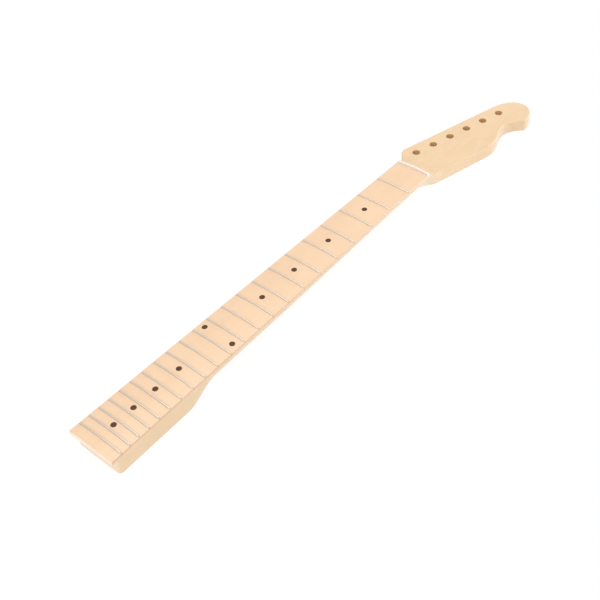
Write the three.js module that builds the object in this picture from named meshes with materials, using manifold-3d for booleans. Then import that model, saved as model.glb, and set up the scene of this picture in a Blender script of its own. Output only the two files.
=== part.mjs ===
// Bolt-on electric guitar neck, right-handed, six tuners in line on the bass side.
// One-piece maple neck, separate maple fretboard, 22 frets, inlays, nut and a two-way truss rod
// that is turned at the heel end.
// Millimetres. The back of the heel lies on z = 0. +X runs to the headstock, +Y to the bass side.

import * as THREE from 'three';
import { mergeVertices } from 'three/addons/utils/BufferGeometryUtils.js';
import Module from 'manifold-3d';

const wasm = await Module();
wasm.setup();

// Driving sizes: string length, frets and overall neck

const scaleLength = 648;
const fretCount = 22;
const fretsPerOctave = 12;
const nutEndWidth = 42;
const heelEndWidth = 56.8;
const neckDepth = 25.4;
const boardThickness = 6.35;
const crownRadius = 241.3;

// Heel: the flat back that sits in a body's neck pocket

const heelSeatLength = 76;
const heelFlatLength = 87.5;
const heelBlendLength = 42;
const boardOverhang = 4.8;
const boardEndMargin = 12.2;
const heelCornerRadius = 4;

// Round back between the heel and the headstock

const depthAtNut = 20.5;
const depthAtHeel = 23;
const leanAtNut = 0.55;
const leanAtHeel = 0.2;
const leanStart = 150;
const fullnessAtNut = 0.75;
const fullnessAtHeel = 0.86;
const sideDrop = 0.4;
const sideTaper = 0.7;
const sideTaperStart = 230;
const sideTaperLength = 180;
const backEdgeRadius = 0.8;

// Headstock

const headThickness = 14.2;
const headLength = 188.8;
const headTrebleReach = 46.9;
const headEdgeAngle = THREE.MathUtils.degToRad(16.33);
const shoulderStart = 6;
const shoulderLength = 27.5;
const shoulderRise = 16.4;
const shoulderTurn = 1.3;
const faceEdgeRadius = 1.8;
const trebleStraight = 19;
const trebleBend = 10;
const rampRadius = 16;
const rampLength = 20;
const headBlendLead = 18;
const headBlendTail = 29;
const tunerHoleDiameter = 8.8;
const tunerCount = 6;
const tunerPitch = 24.7;
const tunerEdgeDistance = 14;
const firstTunerFromShoulder = 5.9;

// Frets, inlays and nut

const fretWidth = 2.4;
const fretHeight = 1.15;
const fretTangWidth = 0.6;
const fretTangDepth = 1.9;
const fretEndInset = 0.6;
const fretEndBevel = 0.7;
const boardEdgeRoll = 0.4;
const dotDiameter = 6;
const dotDepth = 1.8;
const octaveDotOffset = 18.3;
const sideDotDiameter = 2;
const sideDotDepth = 3;
const octaveSideDotOffset = 3;
const nutThickness = 3.3;
const nutProud = 1.8;
const nutSeatDepth = 3.4;
const nutEndRound = 1.6;
const nutEndInset = 0.5;
const nutBackFall = 0.5;
const stringSpread = 35;
const stringSlotDepth = 0.6;
const stringSlotWidths = [1.3, 1.1, 0.9, 0.7, 0.6, 0.6];

// Two-way truss rod

const channelWidth = 6.8;
const channelDepth = 10;
const channelEndFromNut = 15;
const rodDiameter = 5;
const rodFloorGap = 0.5;
const barWidth = 6;
const barThickness = 2.9;
const barBelowBoard = 0.4;
const anchorLength = 14;
const rodSeatLength = 5;
const adjusterDiameter = 9;
const adjusterLength = 14;
const adjusterRecess = 1;
const hexAcrossFlats = 4.76;
const hexDepth = 8;
const boreClearance = 0.6;

// Fits: glued and pressed pieces, and running parts of the truss rod

const seatGap = 0.15;
const runningGap = 0.3;
const overrun = 5;
const weldDistance = 1e-4;

// Facet counts

const crownFacets = 8;
const roundFacets = 20;
const holeFacets = 24;
const smallFacets = 12;
const curveSteps = 8;
const shoulderSteps = 6;
const shelfSteps = 2;
const blendSteps = 12;
const rampSteps = 5;
const shaftSteps = 2;
const fretSteps = 5;
const edgeSteps = 3;
const cornerSteps = 4;
const hexSides = 6;

// Worked-out places along the neck

const heelEndX = -heelSeatLength / 2;
const boardEndX = heelEndX - boardOverhang;
const lastFretX = boardEndX + boardEndMargin;
const fretFromNut = ( fret ) => scaleLength * ( 1 - 2 ** ( - fret / fretsPerOctave ) );
const nutX = lastFretX + fretFromNut( fretCount );
const fretX = ( fret ) => nutX - fretFromNut( fret );
const glueZ = neckDepth - boardThickness;
const nutHalf = nutEndWidth / 2;
const heelFlatEndX = heelEndX + heelFlatLength;
const shaftEndX = heelFlatEndX + heelBlendLength;
const headBlendX = nutX - headBlendLead;
const headBlendEndX = nutX + headBlendTail;
const rampEndX = nutX + rampLength;
const plateX = nutX + shoulderStart + shoulderLength;

const lerp = THREE.MathUtils.lerp;
const clamp = THREE.MathUtils.clamp;
const smooth = THREE.MathUtils.smoothstep;

// Half width of the tapering neck and board, constant from the nut on.
function taperHalf( x ) {

	const share = Math.max( ( nutX - x ) / ( nutX - boardEndX ), 0 );
	return lerp( nutHalf, heelEndWidth / 2, share );

}

// Height of the crowned board top over the back of the heel, y off the centreline.
function crownZ( y ) {

	return neckDepth - crownRadius + Math.sqrt( crownRadius ** 2 - y ** 2 );

}

// Places of the headstock outline as shares of its length (x) and of its treble reach (y).

const outlineShares = {
	tipStart: 0.876,
	tipLead: 0.055,
	tipSide: [ 1, - 0.272 ],
	tip: [ 1, - 0.554 ],
	hookLead: [ 1, - 0.79 ],
	hookSide: [ 0.94, - 1 ],
	hookEnd: [ 0.86, - 1 ],
	hookCorner: [ 0.849, - 1 ],
	scoopStart: [ 0.841, - 0.962 ],
	scoopSide: [ 0.82, - 0.863 ],
	scoopFloor: [ 0.78, - 0.681 ],
	scoopTop: [ 0.726, - 0.681 ],
	scoopRun: [ 0.658, - 0.681 ],
	bumpLead: [ 0.6, - 0.8635 ],
	bump: [ 0.5335, - 0.8635 ],
	bumpCorner: [ 0.509, - 0.8635 ],
	bumpEnd: 0.467,
};

const outlinePoint = ( [ along, across ] ) =>
	new THREE.Vector2( nutX + along * headLength, across * headTrebleReach );

const bumpCorner = outlinePoint( outlineShares.bumpCorner );
const trebleBendX = nutX + trebleStraight;
const trebleSlope = ( - bumpCorner.y - nutHalf ) / ( bumpCorner.x - trebleBendX - trebleBend / 2 );

// Treble edge behind the nut: straight, then a parabola that turns it into a straight flare.
function trebleEdge( x ) {

	const past = x - trebleBendX;
	const inBend = clamp( past, 0, trebleBend );
	const flare = inBend ** 2 / ( 2 * trebleBend ) + Math.max( past - trebleBend, 0 );
	return x < nutX ? taperHalf( x ) : nutHalf + trebleSlope * flare;

}

// Bass edge behind the nut: an S-curve that stands out to the shoulder.
function bassEdge( x ) {

	const start = nutX + shoulderStart;
	return taperHalf( x ) + shoulderRise * smooth( x, start, start + shoulderLength );

}

// How far the board's sides lean in from their top edge to the glue line, most at the nut.
function glueInset( x ) {

	const start = sideTaperStart;
	const leaning = smooth( x, start, start + sideTaperLength ) * ( 1 - smooth( x, nutX, rampEndX ) );
	return sideTaper * leaning;

}

const edgeDirection = new THREE.Vector2( Math.cos( headEdgeAngle ), - Math.sin( headEdgeAngle ) );
const shoulderCorner = new THREE.Vector2( plateX + shoulderTurn, bassEdge( plateX ) );
const shoulderEnd = shoulderCorner.clone().addScaledVector( edgeDirection, shoulderTurn );

// Headstock outline beyond the shoulder, from the bass edge round the tip and hook to the treble edge.
function headOutline() {

	const share = outlineShares;
	const curve = ( name ) => outlinePoint( share[ name ] );
	const straight = ( nutX + share.tipStart * headLength - shoulderEnd.x ) / edgeDirection.x;
	const tipStart = shoulderEnd.clone().addScaledVector( edgeDirection, straight );
	const tipLead = tipStart.clone().addScaledVector( edgeDirection, share.tipLead * headLength );
	const bumpEndX = nutX + share.bumpEnd * headLength;
	const path = new THREE.Path();
	const cubic = ( a, b, c ) => path.bezierCurveTo( a.x, a.y, b.x, b.y, c.x, c.y );
	const quad = ( a, b ) => path.quadraticCurveTo( a.x, a.y, b.x, b.y );
	path.moveTo( plateX, shoulderCorner.y );
	quad( shoulderCorner, shoulderEnd );
	path.lineTo( tipStart.x, tipStart.y );
	cubic( tipLead, curve( 'tipSide' ), curve( 'tip' ) );
	cubic( curve( 'hookLead' ), curve( 'hookSide' ), curve( 'hookEnd' ) );
	quad( curve( 'hookCorner' ), curve( 'scoopStart' ) );
	cubic( curve( 'scoopSide' ), curve( 'scoopFloor' ), curve( 'scoopTop' ) );
	cubic( curve( 'scoopRun' ), curve( 'bumpLead' ), curve( 'bump' ) );
	quad( bumpCorner, new THREE.Vector2( bumpEndX, - trebleEdge( bumpEndX ) ) );
	path.lineTo( plateX, - trebleEdge( plateX ) );
	return path.getPoints( curveSteps );

}

// Centres of the tuner holes, in a line parallel to the bass edge.
function tunerCentres() {

	const inward = new THREE.Vector2( edgeDirection.y, - edgeDirection.x );
	const first = shoulderEnd.clone().addScaledVector( inward, tunerEdgeDistance );
	return Array.from( { length: tunerCount }, ( _, i ) =>
		first.clone().addScaledVector( edgeDirection, firstTunerFromShoulder + i * tunerPitch ) );

}

// Geometry helpers

const matt = ( color, roughness ) => ( { color, roughness, metalness: 0, flatShading: true } );
const metal = ( color, roughness ) => ( { color, roughness, metalness: 1, flatShading: true } );
const neckMaple = new THREE.MeshStandardMaterial( matt( 0xf8d8b0, 0.35 ) );
const boardMaple = new THREE.MeshStandardMaterial( matt( 0xfcdab6, 0.3 ) );
const nutBone = new THREE.MeshStandardMaterial( matt( 0xf6efe6, 0.35 ) );
const dotBlack = new THREE.MeshStandardMaterial( matt( 0x1a1614, 0.35 ) );
const fretNickel = new THREE.MeshStandardMaterial( metal( 0xcfcbc4, 0.25 ) );
const rodSteel = new THREE.MeshStandardMaterial( metal( 0x8f9194, 0.4 ) );
const anchorBrass = new THREE.MeshStandardMaterial( metal( 0xc9a24f, 0.35 ) );

const point = ( x, y, z ) => new THREE.Vector3( x, y, z );

// A geometry from a flat list of triangle corners, with its faces turned outwards.
function closedGeometry( corners ) {

	let volume = 0;
	for ( let i = 0; i < corners.length; i += 3 ) {

		volume += corners[ i ].dot( corners[ i + 1 ].clone().cross( corners[ i + 2 ] ) );

	}

	const ordered = volume < 0 ? corners.reverse() : corners;
	const geometry = new THREE.BufferGeometry();
	const flat = ordered.flatMap( ( p ) => [ p.x, p.y, p.z ] );
	geometry.setAttribute( 'position', new THREE.Float32BufferAttribute( flat, 3 ) );
	return geometry;

}

// A closed geometry as a solid that can be cut and joined.
function solid( geometry ) {

	const bare = geometry.clone();
	bare.deleteAttribute( 'normal' );
	bare.deleteAttribute( 'uv' );
	const merged = mergeVertices( bare, weldDistance );
	const vertProperties = new Float32Array( merged.attributes.position.array );
	const triVerts = new Uint32Array( merged.index.array );
	return new wasm.Manifold( new wasm.Mesh( { numProp: 3, vertProperties, triVerts } ) );

}

// A cut solid back as a geometry.
function geometryOf( body ) {

	const mesh = body.getMesh();
	const flat = [];
	for ( const vertex of mesh.triVerts ) {

		const at = vertex * mesh.numProp;
		flat.push( ...mesh.vertProperties.slice( at, at + 3 ) );

	}

	const geometry = new THREE.BufferGeometry();
	geometry.setAttribute( 'position', new THREE.Float32BufferAttribute( flat, 3 ) );
	geometry.computeVertexNormals();
	return geometry;

}

const cut = ( body, tools ) => tools.reduce( ( left, tool ) => left.subtract( solid( tool ) ), body );

// The skin of quads between rings of equal length.
function skin( rings, isClosed = true ) {

	const corners = [];
	const count = rings[ 0 ].length - ( isClosed ? 0 : 1 );
	for ( let i = 0; i + 1 < rings.length; i ++ ) {

		for ( let j = 0; j < count; j ++ ) {

			const k = ( j + 1 ) % rings[ 0 ].length;
			const [ a, b ] = [ rings[ i ][ j ], rings[ i ][ k ] ];
			const [ c, d ] = [ rings[ i + 1 ][ k ], rings[ i + 1 ][ j ] ];
			corners.push( a, c, b, a, d, c );

		}

	}

	return corners;

}

// A fan from one point to a row of points.
function fan( apex, row ) {

	return row.slice( 1 ).flatMap( ( p, i ) => [ apex, row[ i ], p ] );

}

// A flat end over a ring: a fan from its middle, with its faces the way the ring turns or against it.
function endCap( ring, isReversed ) {

	const middle = ring.reduce( ( sum, p ) => sum.add( p ), point( 0, 0, 0 ) ).divideScalar( ring.length );
	const corners = fan( middle, [ ...ring, ring[ 0 ] ] );
	return isReversed ? corners.reverse() : corners;

}

// A closed body through rings of equal length.
function loft( rings ) {

	const last = rings[ rings.length - 1 ];
	return closedGeometry( [ ...endCap( rings[ 0 ], false ), ...skin( rings ), ...endCap( last, true ) ] );

}

// A box between two corners.
function box( low, high ) {

	const size = high.map( ( value, i ) => value - low[ i ] );
	const middle = high.map( ( value, i ) => ( value + low[ i ] ) / 2 );
	return new THREE.BoxGeometry( ...size ).translate( ...middle );

}

// Round bars along each direction.
const barAlongX = ( radius, fromX, toX, z, facets ) =>
	new THREE.CylinderGeometry( radius, radius, toX - fromX, facets )
		.rotateZ( Math.PI / 2 ).translate( ( fromX + toX ) / 2, 0, z );
const barAlongY = ( radius, x, fromY, toY, z, facets ) =>
	new THREE.CylinderGeometry( radius, radius, toY - fromY, facets )
		.translate( x, ( fromY + toY ) / 2, z );
const barAlongZ = ( radius, x, y, fromZ, toZ, facets ) =>
	new THREE.CylinderGeometry( radius, radius, toZ - fromZ, facets )
		.rotateX( Math.PI / 2 ).translate( x, y, ( fromZ + toZ ) / 2 );

// Neck: heel, round back and headstock in one piece of maple

const seamAngle = Math.acos( 1 - ( glueZ - headThickness ) / rampRadius );
const rampPoint = ( angle ) => new THREE.Vector2(
	rampEndX - rampRadius * Math.sin( angle ), headThickness + rampRadius * ( 1 - Math.cos( angle ) ) );
const seamX = rampPoint( seamAngle ).x;

// Front of the neck: the glue plane, the ramp behind the nut, then the headstock's face.
function frontZ( x ) {

	const back = clamp( rampEndX - x, 0, rampRadius );
	return Math.min( headThickness + rampRadius - Math.sqrt( rampRadius ** 2 - back ** 2 ), glueZ );

}

// How far a section is a square block: one in the heel and the headstock, zero between.
function blockShare( x ) {

	const heelShare = 1 - smooth( x, heelFlatEndX, shaftEndX );
	return Math.max( heelShare, smooth( x, headBlendX, headBlendEndX ) );

}

// The front edge of one side: square where the board sits, rounded on the headstock.
function frontEdge( x, half ) {

	const round = smooth( x, seamX, rampEndX );
	return Array.from( { length: edgeSteps + 1 }, ( _, i ) => {

		const turn = ( i / edgeSteps ) * Math.PI / 2;
		const inset = faceEdgeRadius * ( 1 - Math.sin( turn ) ) * round;
		const drop = lerp( sideDrop * i / edgeSteps, faceEdgeRadius * ( 1 - Math.cos( turn ) ), round );
		return point( x, half - inset, frontZ( x ) - drop );

	} );

}

const wallAndCornerSteps = 2 * edgeSteps;

// The square side below the front edge: down the wall, round the back edge and in to the middle.
// The steps of the wall and the back start as short as those of the edge.
function blockSide( x, half, top ) {

	const arc = backEdgeRadius * Math.PI / 2;
	const wallEnd = arc / ( top - backEdgeRadius );
	const backStart = arc / ( half - backEdgeRadius );
	const wall = [];
	const corner = [];
	const back = [];
	for ( let i = 1; i <= edgeSteps; i ++ ) {

		const turn = ( i / edgeSteps ) * Math.PI / 2;
		const step = i / edgeSteps;
		const down = ( 2 - wallEnd ) * step + ( wallEnd - 1 ) * step ** 2;
		const across = backStart * step + ( 1 - backStart ) * step ** 2;
		const inset = backEdgeRadius * ( 1 - Math.cos( turn ) );
		wall.push( point( x, half, lerp( top, backEdgeRadius, down ) ) );
		corner.push( point( x, half - inset, backEdgeRadius * ( 1 - Math.sin( turn ) ) ) );
		back.push( point( x, lerp( half - backEdgeRadius, 0, across ), 0 ) );

	}

	return [ ...wall, ...corner, ...back ];

}

// The round back's place at a share of the way from the side to the middle: a weighted conic curve.
function roundSide( x, half, top, share ) {

	const along = clamp( ( nutX - x ) / ( nutX - shaftEndX ), 0, 1 );
	const back = neckDepth - lerp( depthAtNut, depthAtHeel, along );
	const lean = lerp( leanAtHeel, leanAtNut, smooth( x, leanStart, nutX ) ) * ( top - back );
	const start = ( 1 - share ) ** 2;
	const middle = 2 * share * ( 1 - share ) * lerp( fullnessAtNut, fullnessAtHeel, along );
	const end = share ** 2;
	const sum = start + middle + end;
	const y = ( start * half + middle * ( half - lean ) ) / sum;
	return point( x, y, ( start * top + ( middle + end ) * back ) / sum );

}

// One side of a section, from the front edge down to the middle of the back.
function halfSection( x, half ) {

	const edge = frontEdge( x, half );
	const top = edge[ edgeSteps ].z;
	const square = blockSide( x, half, top );
	const low = square.map( ( p, i ) =>
		roundSide( x, half, top, ( i + 1 ) / square.length ).lerp( p, blockShare( x ) ) );
	return [ ...edge, ...low ];

}

// How far the sides draw in to round the heel's upright corners.
function heelInset( x ) {

	const back = Math.max( heelEndX + heelCornerRadius - x, 0 );
	return heelCornerRadius - Math.sqrt( Math.max( heelCornerRadius ** 2 - back ** 2, 0 ) );

}

// A whole section: bass side down, then treble side up.
function neckSection( x ) {

	const inset = glueInset( x ) + heelInset( x );
	const bass = halfSection( x, bassEdge( x ) - inset );
	const treble = halfSection( x, trebleEdge( x ) - inset ).slice( 0, - 1 ).reverse();
	return [ ...bass, ...treble.map( ( p ) => point( p.x, - p.y, p.z ) ) ];

}

// Stations along the neck, close together only where the section changes.
function neckStations() {

	const stations = [];
	const span = ( from, to, steps ) => {

		for ( let i = 0; i <= steps; i ++ ) stations.push( lerp( from, to, i / steps ) );

	};

	for ( let i = 0; i <= cornerSteps; i ++ ) {

		const turn = ( i / cornerSteps ) * Math.PI / 2;
		stations.push( heelEndX + heelCornerRadius * ( 1 - Math.cos( turn ) ) );

	}

	span( heelFlatEndX, shaftEndX, blendSteps );
	span( shaftEndX, sideTaperStart, shaftSteps );
	span( sideTaperStart, headBlendX, shelfSteps * shaftSteps );
	span( headBlendX, nutX, blendSteps / 2 );
	span( nutX + shoulderStart, seamX, shelfSteps );
	for ( let i = 0; i < rampSteps; i ++ ) stations.push( rampPoint( seamAngle * i / rampSteps ).x );
	span( rampEndX, plateX, shoulderSteps );
	stations.sort( ( a, b ) => a - b );
	return stations.filter( ( x, i ) => i === 0 || x - stations[ i - 1 ] > weldDistance );

}

// Inward directions along the headstock's outline; the first and last are square to the neck.
function inwardDirections( outline ) {

	return outline.map( ( p, i ) => {

		if ( i === 0 ) return new THREE.Vector2( 0, - 1 );
		if ( i === outline.length - 1 ) return new THREE.Vector2( 0, 1 );
		const before = p.clone().sub( outline[ i - 1 ] ).normalize();
		const along = outline[ i + 1 ].clone().sub( p ).normalize().add( before ).normalize();
		return new THREE.Vector2( along.y, - along.x );

	} );

}

// The flat front or back of the headstock: its outline, and a fan to the row where the neck runs in.
function headFace( loop, row, isBack ) {

	const apex = point( plateX + shoulderTurn, 0, loop[ 0 ].z );
	const flat = [ ...loop, apex ].map( ( p ) => new THREE.Vector2( p.x, p.y ) );
	const corners = [ ...loop, apex ];
	const faces = THREE.ShapeUtils.triangulateShape( flat, [] ).flatMap( ( face ) => {

		const [ a, b, c ] = face.map( ( index ) => corners[ index ] );
		const isUp = b.clone().sub( a ).cross( c.clone().sub( a ) ).z > 0;
		return isUp === isBack ? [ a, c, b ] : [ a, b, c ];

	} );
	return [ ...faces, ...fan( apex, row ).reverse() ];

}

// Heel, shaft and headstock as one closed skin.
function neckBlank() {

	const sections = neckStations().map( neckSection );
	const last = sections[ sections.length - 1 ];
	const outline = headOutline();
	const inward = inwardDirections( outline );
	const depth = frontEdge( plateX, 0 ).length + wallAndCornerSteps;
	const profile = halfSection( plateX, 0 ).slice( 0, depth );
	const columns = outline.map( ( p, i ) => profile.map( ( q ) =>
		point( p.x - inward[ i ].x * q.y, p.y - inward[ i ].y * q.y, q.z ) ) );
	columns[ 0 ] = last.slice( 0, depth );
	columns[ columns.length - 1 ] = last.slice( - depth ).reverse();
	const front = columns.map( ( column ) => column[ 0 ] );
	const back = columns.map( ( column ) => column[ depth - 1 ] );
	return closedGeometry( [
		...endCap( sections[ 0 ], false ),
		...skin( sections ),
		...skin( columns, false ),
		...headFace( front, [ last[ last.length - 1 ], last[ 0 ] ], false ),
		...headFace( back, last.slice( depth - 1, last.length - depth + 1 ), true ),
	] );

}

const channelFloor = glueZ - channelDepth;
const channelEndX = nutX - channelEndFromNut;
const rodZ = channelFloor + rodFloorGap + rodDiameter / 2;
const adjusterX = heelEndX + adjusterRecess;
const adjusterEndX = adjusterX + adjusterLength;
const boreEndX = adjusterEndX + runningGap;
const boreRadius = adjusterDiameter / 2 + boreClearance;

// The neck with its tuner holes, the truss-rod channel and the bore for the adjuster.
function neckGeometry() {

	const half = channelWidth / 2;
	const channel = box( [ adjusterEndX, - half, channelFloor ], [ channelEndX, half, glueZ + overrun ] );
	const bore = barAlongX( boreRadius, heelEndX - overrun, boreEndX, rodZ, holeFacets );
	const radius = tunerHoleDiameter / 2;
	const holes = tunerCentres().map( ( centre ) =>
		barAlongZ( radius, centre.x, centre.y, - overrun, headThickness + overrun, holeFacets ) );
	return geometryOf( cut( solid( neckBlank() ), [ bore, channel, ...holes ] ) );

}

// Fretboard: a crowned maple slab that runs on behind the nut and ends in the ramp

// A section of the slab before its crown is cut: nearly upright sides under a rolled edge.
function slabSection( x ) {

	const top = neckDepth + overrun;
	const inner = 2 * boardEdgeRoll;
	const side = ( half ) => [
		point( x, half - inner, top ),
		point( x, half - inner, crownZ( half ) - boardEdgeRoll + inner ),
		point( x, half, crownZ( half ) - boardEdgeRoll ),
		point( x, half - glueInset( x ), glueZ ),
	];
	const treble = side( trebleEdge( x ) ).map( ( p ) => point( p.x, - p.y, p.z ) );
	return [ ...side( bassEdge( x ) ), ...treble.reverse() ];

}

// The crowned form that the slab is cut to, wider and longer than the board.
function crownForm() {

	const half = heelEndWidth / 2;
	const crown = Array.from( { length: crownFacets + 1 }, ( _, i ) => {

		const y = lerp( half, - half, i / crownFacets );
		return new THREE.Vector2( y, crownZ( y ) );

	} );
	const edge = crownZ( half );
	const low = glueZ - overrun;
	const outer = half + overrun;
	const skirt = [ [ - outer, edge ], [ - outer, low ], [ outer, low ], [ outer, edge ] ];
	const shape = new THREE.Shape( [ ...crown, ...skirt.map( ( at ) => new THREE.Vector2( ...at ) ) ] );
	const depth = rampEndX - boardEndX + 2 * overrun;
	const form = new THREE.ExtrudeGeometry( shape, { depth, bevelEnabled: false } );
	return form.rotateX( Math.PI / 2 ).rotateZ( Math.PI / 2 ).translate( boardEndX - overrun, 0, 0 );

}

// The board before its slots and pockets are cut.
function boardStock() {

	const behindNut = neckStations().filter( ( x ) => x > nutX && x <= rampEndX );
	const angles = Array.from( { length: rampSteps + 1 }, ( _, i ) =>
		lerp( seamAngle * ( rampSteps - 1 ) / rampSteps, Math.PI / 2, i / rampSteps ) );
	const ramp = [ ...angles, seamAngle ].sort( ( a, b ) => a - b ).map( rampPoint );
	const above = new THREE.Vector2( rampEndX + overrun, ramp[ ramp.length - 1 ].y );
	const below = new THREE.Vector2( rampEndX + overrun, ramp[ 0 ].y );
	const shape = new THREE.Shape( [ ...ramp, above, below ] );
	const half = bassEdge( plateX ) + overrun;
	const cutter = new THREE.ExtrudeGeometry( shape, { depth: 2 * half, bevelEnabled: false } );
	cutter.rotateX( Math.PI / 2 ).translate( 0, half, 0 );
	const taper = neckStations().filter( ( x ) => x >= sideTaperStart && x < nutX );
	const slab = solid( loft( [ boardEndX, ...taper, nutX, ...behindNut ].map( slabSection ) ) );
	return cut( slab.intersect( solid( crownForm() ) ), [ cutter ] );

}

const blank = boardStock();
const slotHalf = fretTangWidth / 2 + seatGap;
const nutSeatZ = neckDepth - nutSeatDepth;
const nutBackX = nutX + nutThickness;

// The slot that a fret's tang is pressed into.
function fretSlot( fret ) {

	const x = fretX( fret );
	const half = taperHalf( x );
	const floor = crownZ( half ) - fretTangDepth - seatGap;
	const [ outer, top ] = [ half + overrun, neckDepth + overrun ];
	return box( [ x - slotHalf, - outer, floor ], [ x + slotHalf, outer, top ] );

}

const frets = Array.from( { length: fretCount }, ( _, i ) => i + 1 );
const singleDotFrets = [ 3, 5, 7, 9, 15, 17, 19, 21 ].filter( ( fret ) => fret <= fretCount );
const behindFret = ( fret ) => ( fretX( fret ) + fretX( fret - 1 ) ) / 2;
const number = ( fret ) => String( fret ).padStart( 2, '0' );

// Names and places of the face dots: one behind each marked fret, two behind the octave.
const faceDots = [
	...singleDotFrets.map( ( fret ) => ( { name: number( fret ), x: behindFret( fret ), y: 0 } ) ),
	{ name: '12_bass', x: behindFret( fretsPerOctave ), y: octaveDotOffset },
	{ name: '12_treble', x: behindFret( fretsPerOctave ), y: - octaveDotOffset },
];

// Names and places of the side dots, on the bass side of the board.
const sideDots = [
	...singleDotFrets.map( ( fret ) => ( { name: number( fret ), x: behindFret( fret ) } ) ),
	{ name: '12_head', x: behindFret( fretsPerOctave ) + octaveSideDotOffset },
	{ name: '12_heel', x: behindFret( fretsPerOctave ) - octaveSideDotOffset },
];

// A face dot's peg, or its pocket with the gap for the glue.
function faceDotPeg( dot, gap ) {

	const floor = crownZ( dot.y ) - dotDepth - gap;
	const top = neckDepth + overrun;
	return barAlongZ( dotDiameter / 2 + gap, dot.x, dot.y, floor, top, roundFacets );

}

// A side dot's peg, or its pocket, halfway up the board's side.
function sideDotPeg( dot, gap ) {

	const half = taperHalf( dot.x );
	const z = ( glueZ + crownZ( half ) - boardEdgeRoll ) / 2;
	const inner = half - sideDotDepth - gap;
	return barAlongY( sideDotDiameter / 2 + gap, dot.x, inner, half + overrun, z, smallFacets );

}

function boardGeometry() {

	const outer = bassEdge( plateX ) + overrun;
	const nutSlot = box(
		[ nutX - seatGap, - outer, nutSeatZ ],
		[ nutBackX + seatGap, outer, neckDepth + overrun ],
	);
	const pockets = [
		...faceDots.map( ( dot ) => faceDotPeg( dot, seatGap ) ),
		...sideDots.map( ( dot ) => sideDotPeg( dot, seatGap ) ),
	];
	return geometryOf( cut( blank, [ nutSlot, ...frets.map( fretSlot ), ...pockets ] ) );

}

const dotGeometry = ( peg ) => geometryOf( blank.intersect( solid( peg ) ) );

// Nut: crowned top that falls towards the headstock, leaning rounded ends and six string slots

function nutSection( x, fall ) {

	const points = [];
	const turns = Array.from( { length: edgeSteps + 1 }, ( _, i ) => ( i / edgeSteps ) * Math.PI / 2 );
	const endTop = crownZ( nutHalf ) + nutProud - fall - nutEndRound;
	for ( const turn of turns ) {

		const y = nutHalf - nutEndRound * ( 1 - Math.cos( turn ) );
		points.push( point( x, y, endTop + nutEndRound * Math.sin( turn ) ) );

	}

	const inner = nutHalf - nutEndRound;
	for ( let i = 1; i < crownFacets; i ++ ) {

		const y = lerp( inner, - inner, i / crownFacets );
		const rise = crownZ( y ) - crownZ( inner ) + crownZ( nutHalf );
		points.push( point( x, y, rise + nutProud - fall ) );

	}

	for ( const turn of turns.reverse() ) {

		const y = nutEndRound * ( 1 - Math.cos( turn ) ) - nutHalf;
		points.push( point( x, y, endTop + nutEndRound * Math.sin( turn ) ) );

	}

	const seat = nutSeatZ + seatGap;
	const seatHalf = nutHalf - nutEndInset;
	return [ ...points, point( x, - seatHalf, seat ), point( x, seatHalf, seat ) ];

}

function nutGeometry() {

	const body = solid( loft( [ nutSection( nutX, 0 ), nutSection( nutBackX, nutBackFall ) ] ) );
	const slots = stringSlotWidths.map( ( width, i ) => {

		const y = stringSpread * ( 1 / 2 - i / ( stringSlotWidths.length - 1 ) );
		const floor = crownZ( y ) + nutProud - nutBackFall - stringSlotDepth;
		return box(
			[ nutX - overrun, y - width / 2, floor ],
			[ nutBackX + overrun, y + width / 2, neckDepth + overrun ],
		);

	} );
	return geometryOf( cut( body, slots ) );

}

// Fret: a domed crown on a tang, bent to the board's crown, with its ends bevelled

function fretGeometry( fret ) {

	const tang = fretTangWidth / 2;
	const dome = Array.from( { length: fretSteps + 1 }, ( _, i ) => {

		const turn = ( i / fretSteps ) * Math.PI;
		return [ fretWidth / 2 * Math.cos( turn ), fretHeight * Math.sin( turn ) ];

	} );
	const stem = [ [ - tang, 0 ], [ - tang, - fretTangDepth ], [ tang, - fretTangDepth ], [ tang, 0 ] ];
	const half = taperHalf( fretX( fret ) ) - fretEndInset;
	const rings = Array.from( { length: crownFacets + 1 }, ( _, i ) => {

		const share = 2 * i / crownFacets - 1;
		const isEnd = Math.abs( share ) === 1;
		return [ ...dome, ...stem ].map( ( [ along, rise ] ) => {

			const bevel = isEnd ? Math.sign( share ) * fretEndBevel * Math.max( rise, 0 ) : 0;
			const z = crownZ( share * half ) + seatGap + rise;
			return point( fretX( fret ) + along, share * half - bevel, z );

		} );

	} );
	return sweptFret( rings );

}

// The fret's skin with its T-shaped ends.
function sweptFret( rings ) {

	const cap = ( ring, isReversed ) => {

		const flat = ring.map( ( p ) => new THREE.Vector2( p.x, p.z ) );
		const faces = THREE.ShapeUtils.triangulateShape( flat, [] );
		const corners = faces.flat().map( ( index ) => ring[ index ] );
		return isReversed ? corners.reverse() : corners;

	};

	const [ first, last ] = [ rings[ 0 ], rings[ rings.length - 1 ] ];
	const turnsLeft = THREE.ShapeUtils.area( first.map( ( p ) => new THREE.Vector2( p.x, p.z ) ) ) > 0;
	return closedGeometry( [ ...cap( first, ! turnsLeft ), ...skin( rings ), ...cap( last, turnsLeft ) ] );

}

// Truss rod: adjuster and rod turn together; the flat bar and the two anchors are fixed in the channel

const anchorTop = glueZ - barBelowBoard;
const anchorFloor = channelFloor + runningGap;
const barFloor = anchorTop - barThickness;
const anchorHeelX = boreEndX + runningGap;
const anchorHeadX = channelEndX - runningGap - anchorLength;
const heelStepX = anchorHeelX + anchorLength / 2;
const headStepX = anchorHeadX + anchorLength / 2;
const rodBore = rodDiameter / 2 + runningGap;

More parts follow.
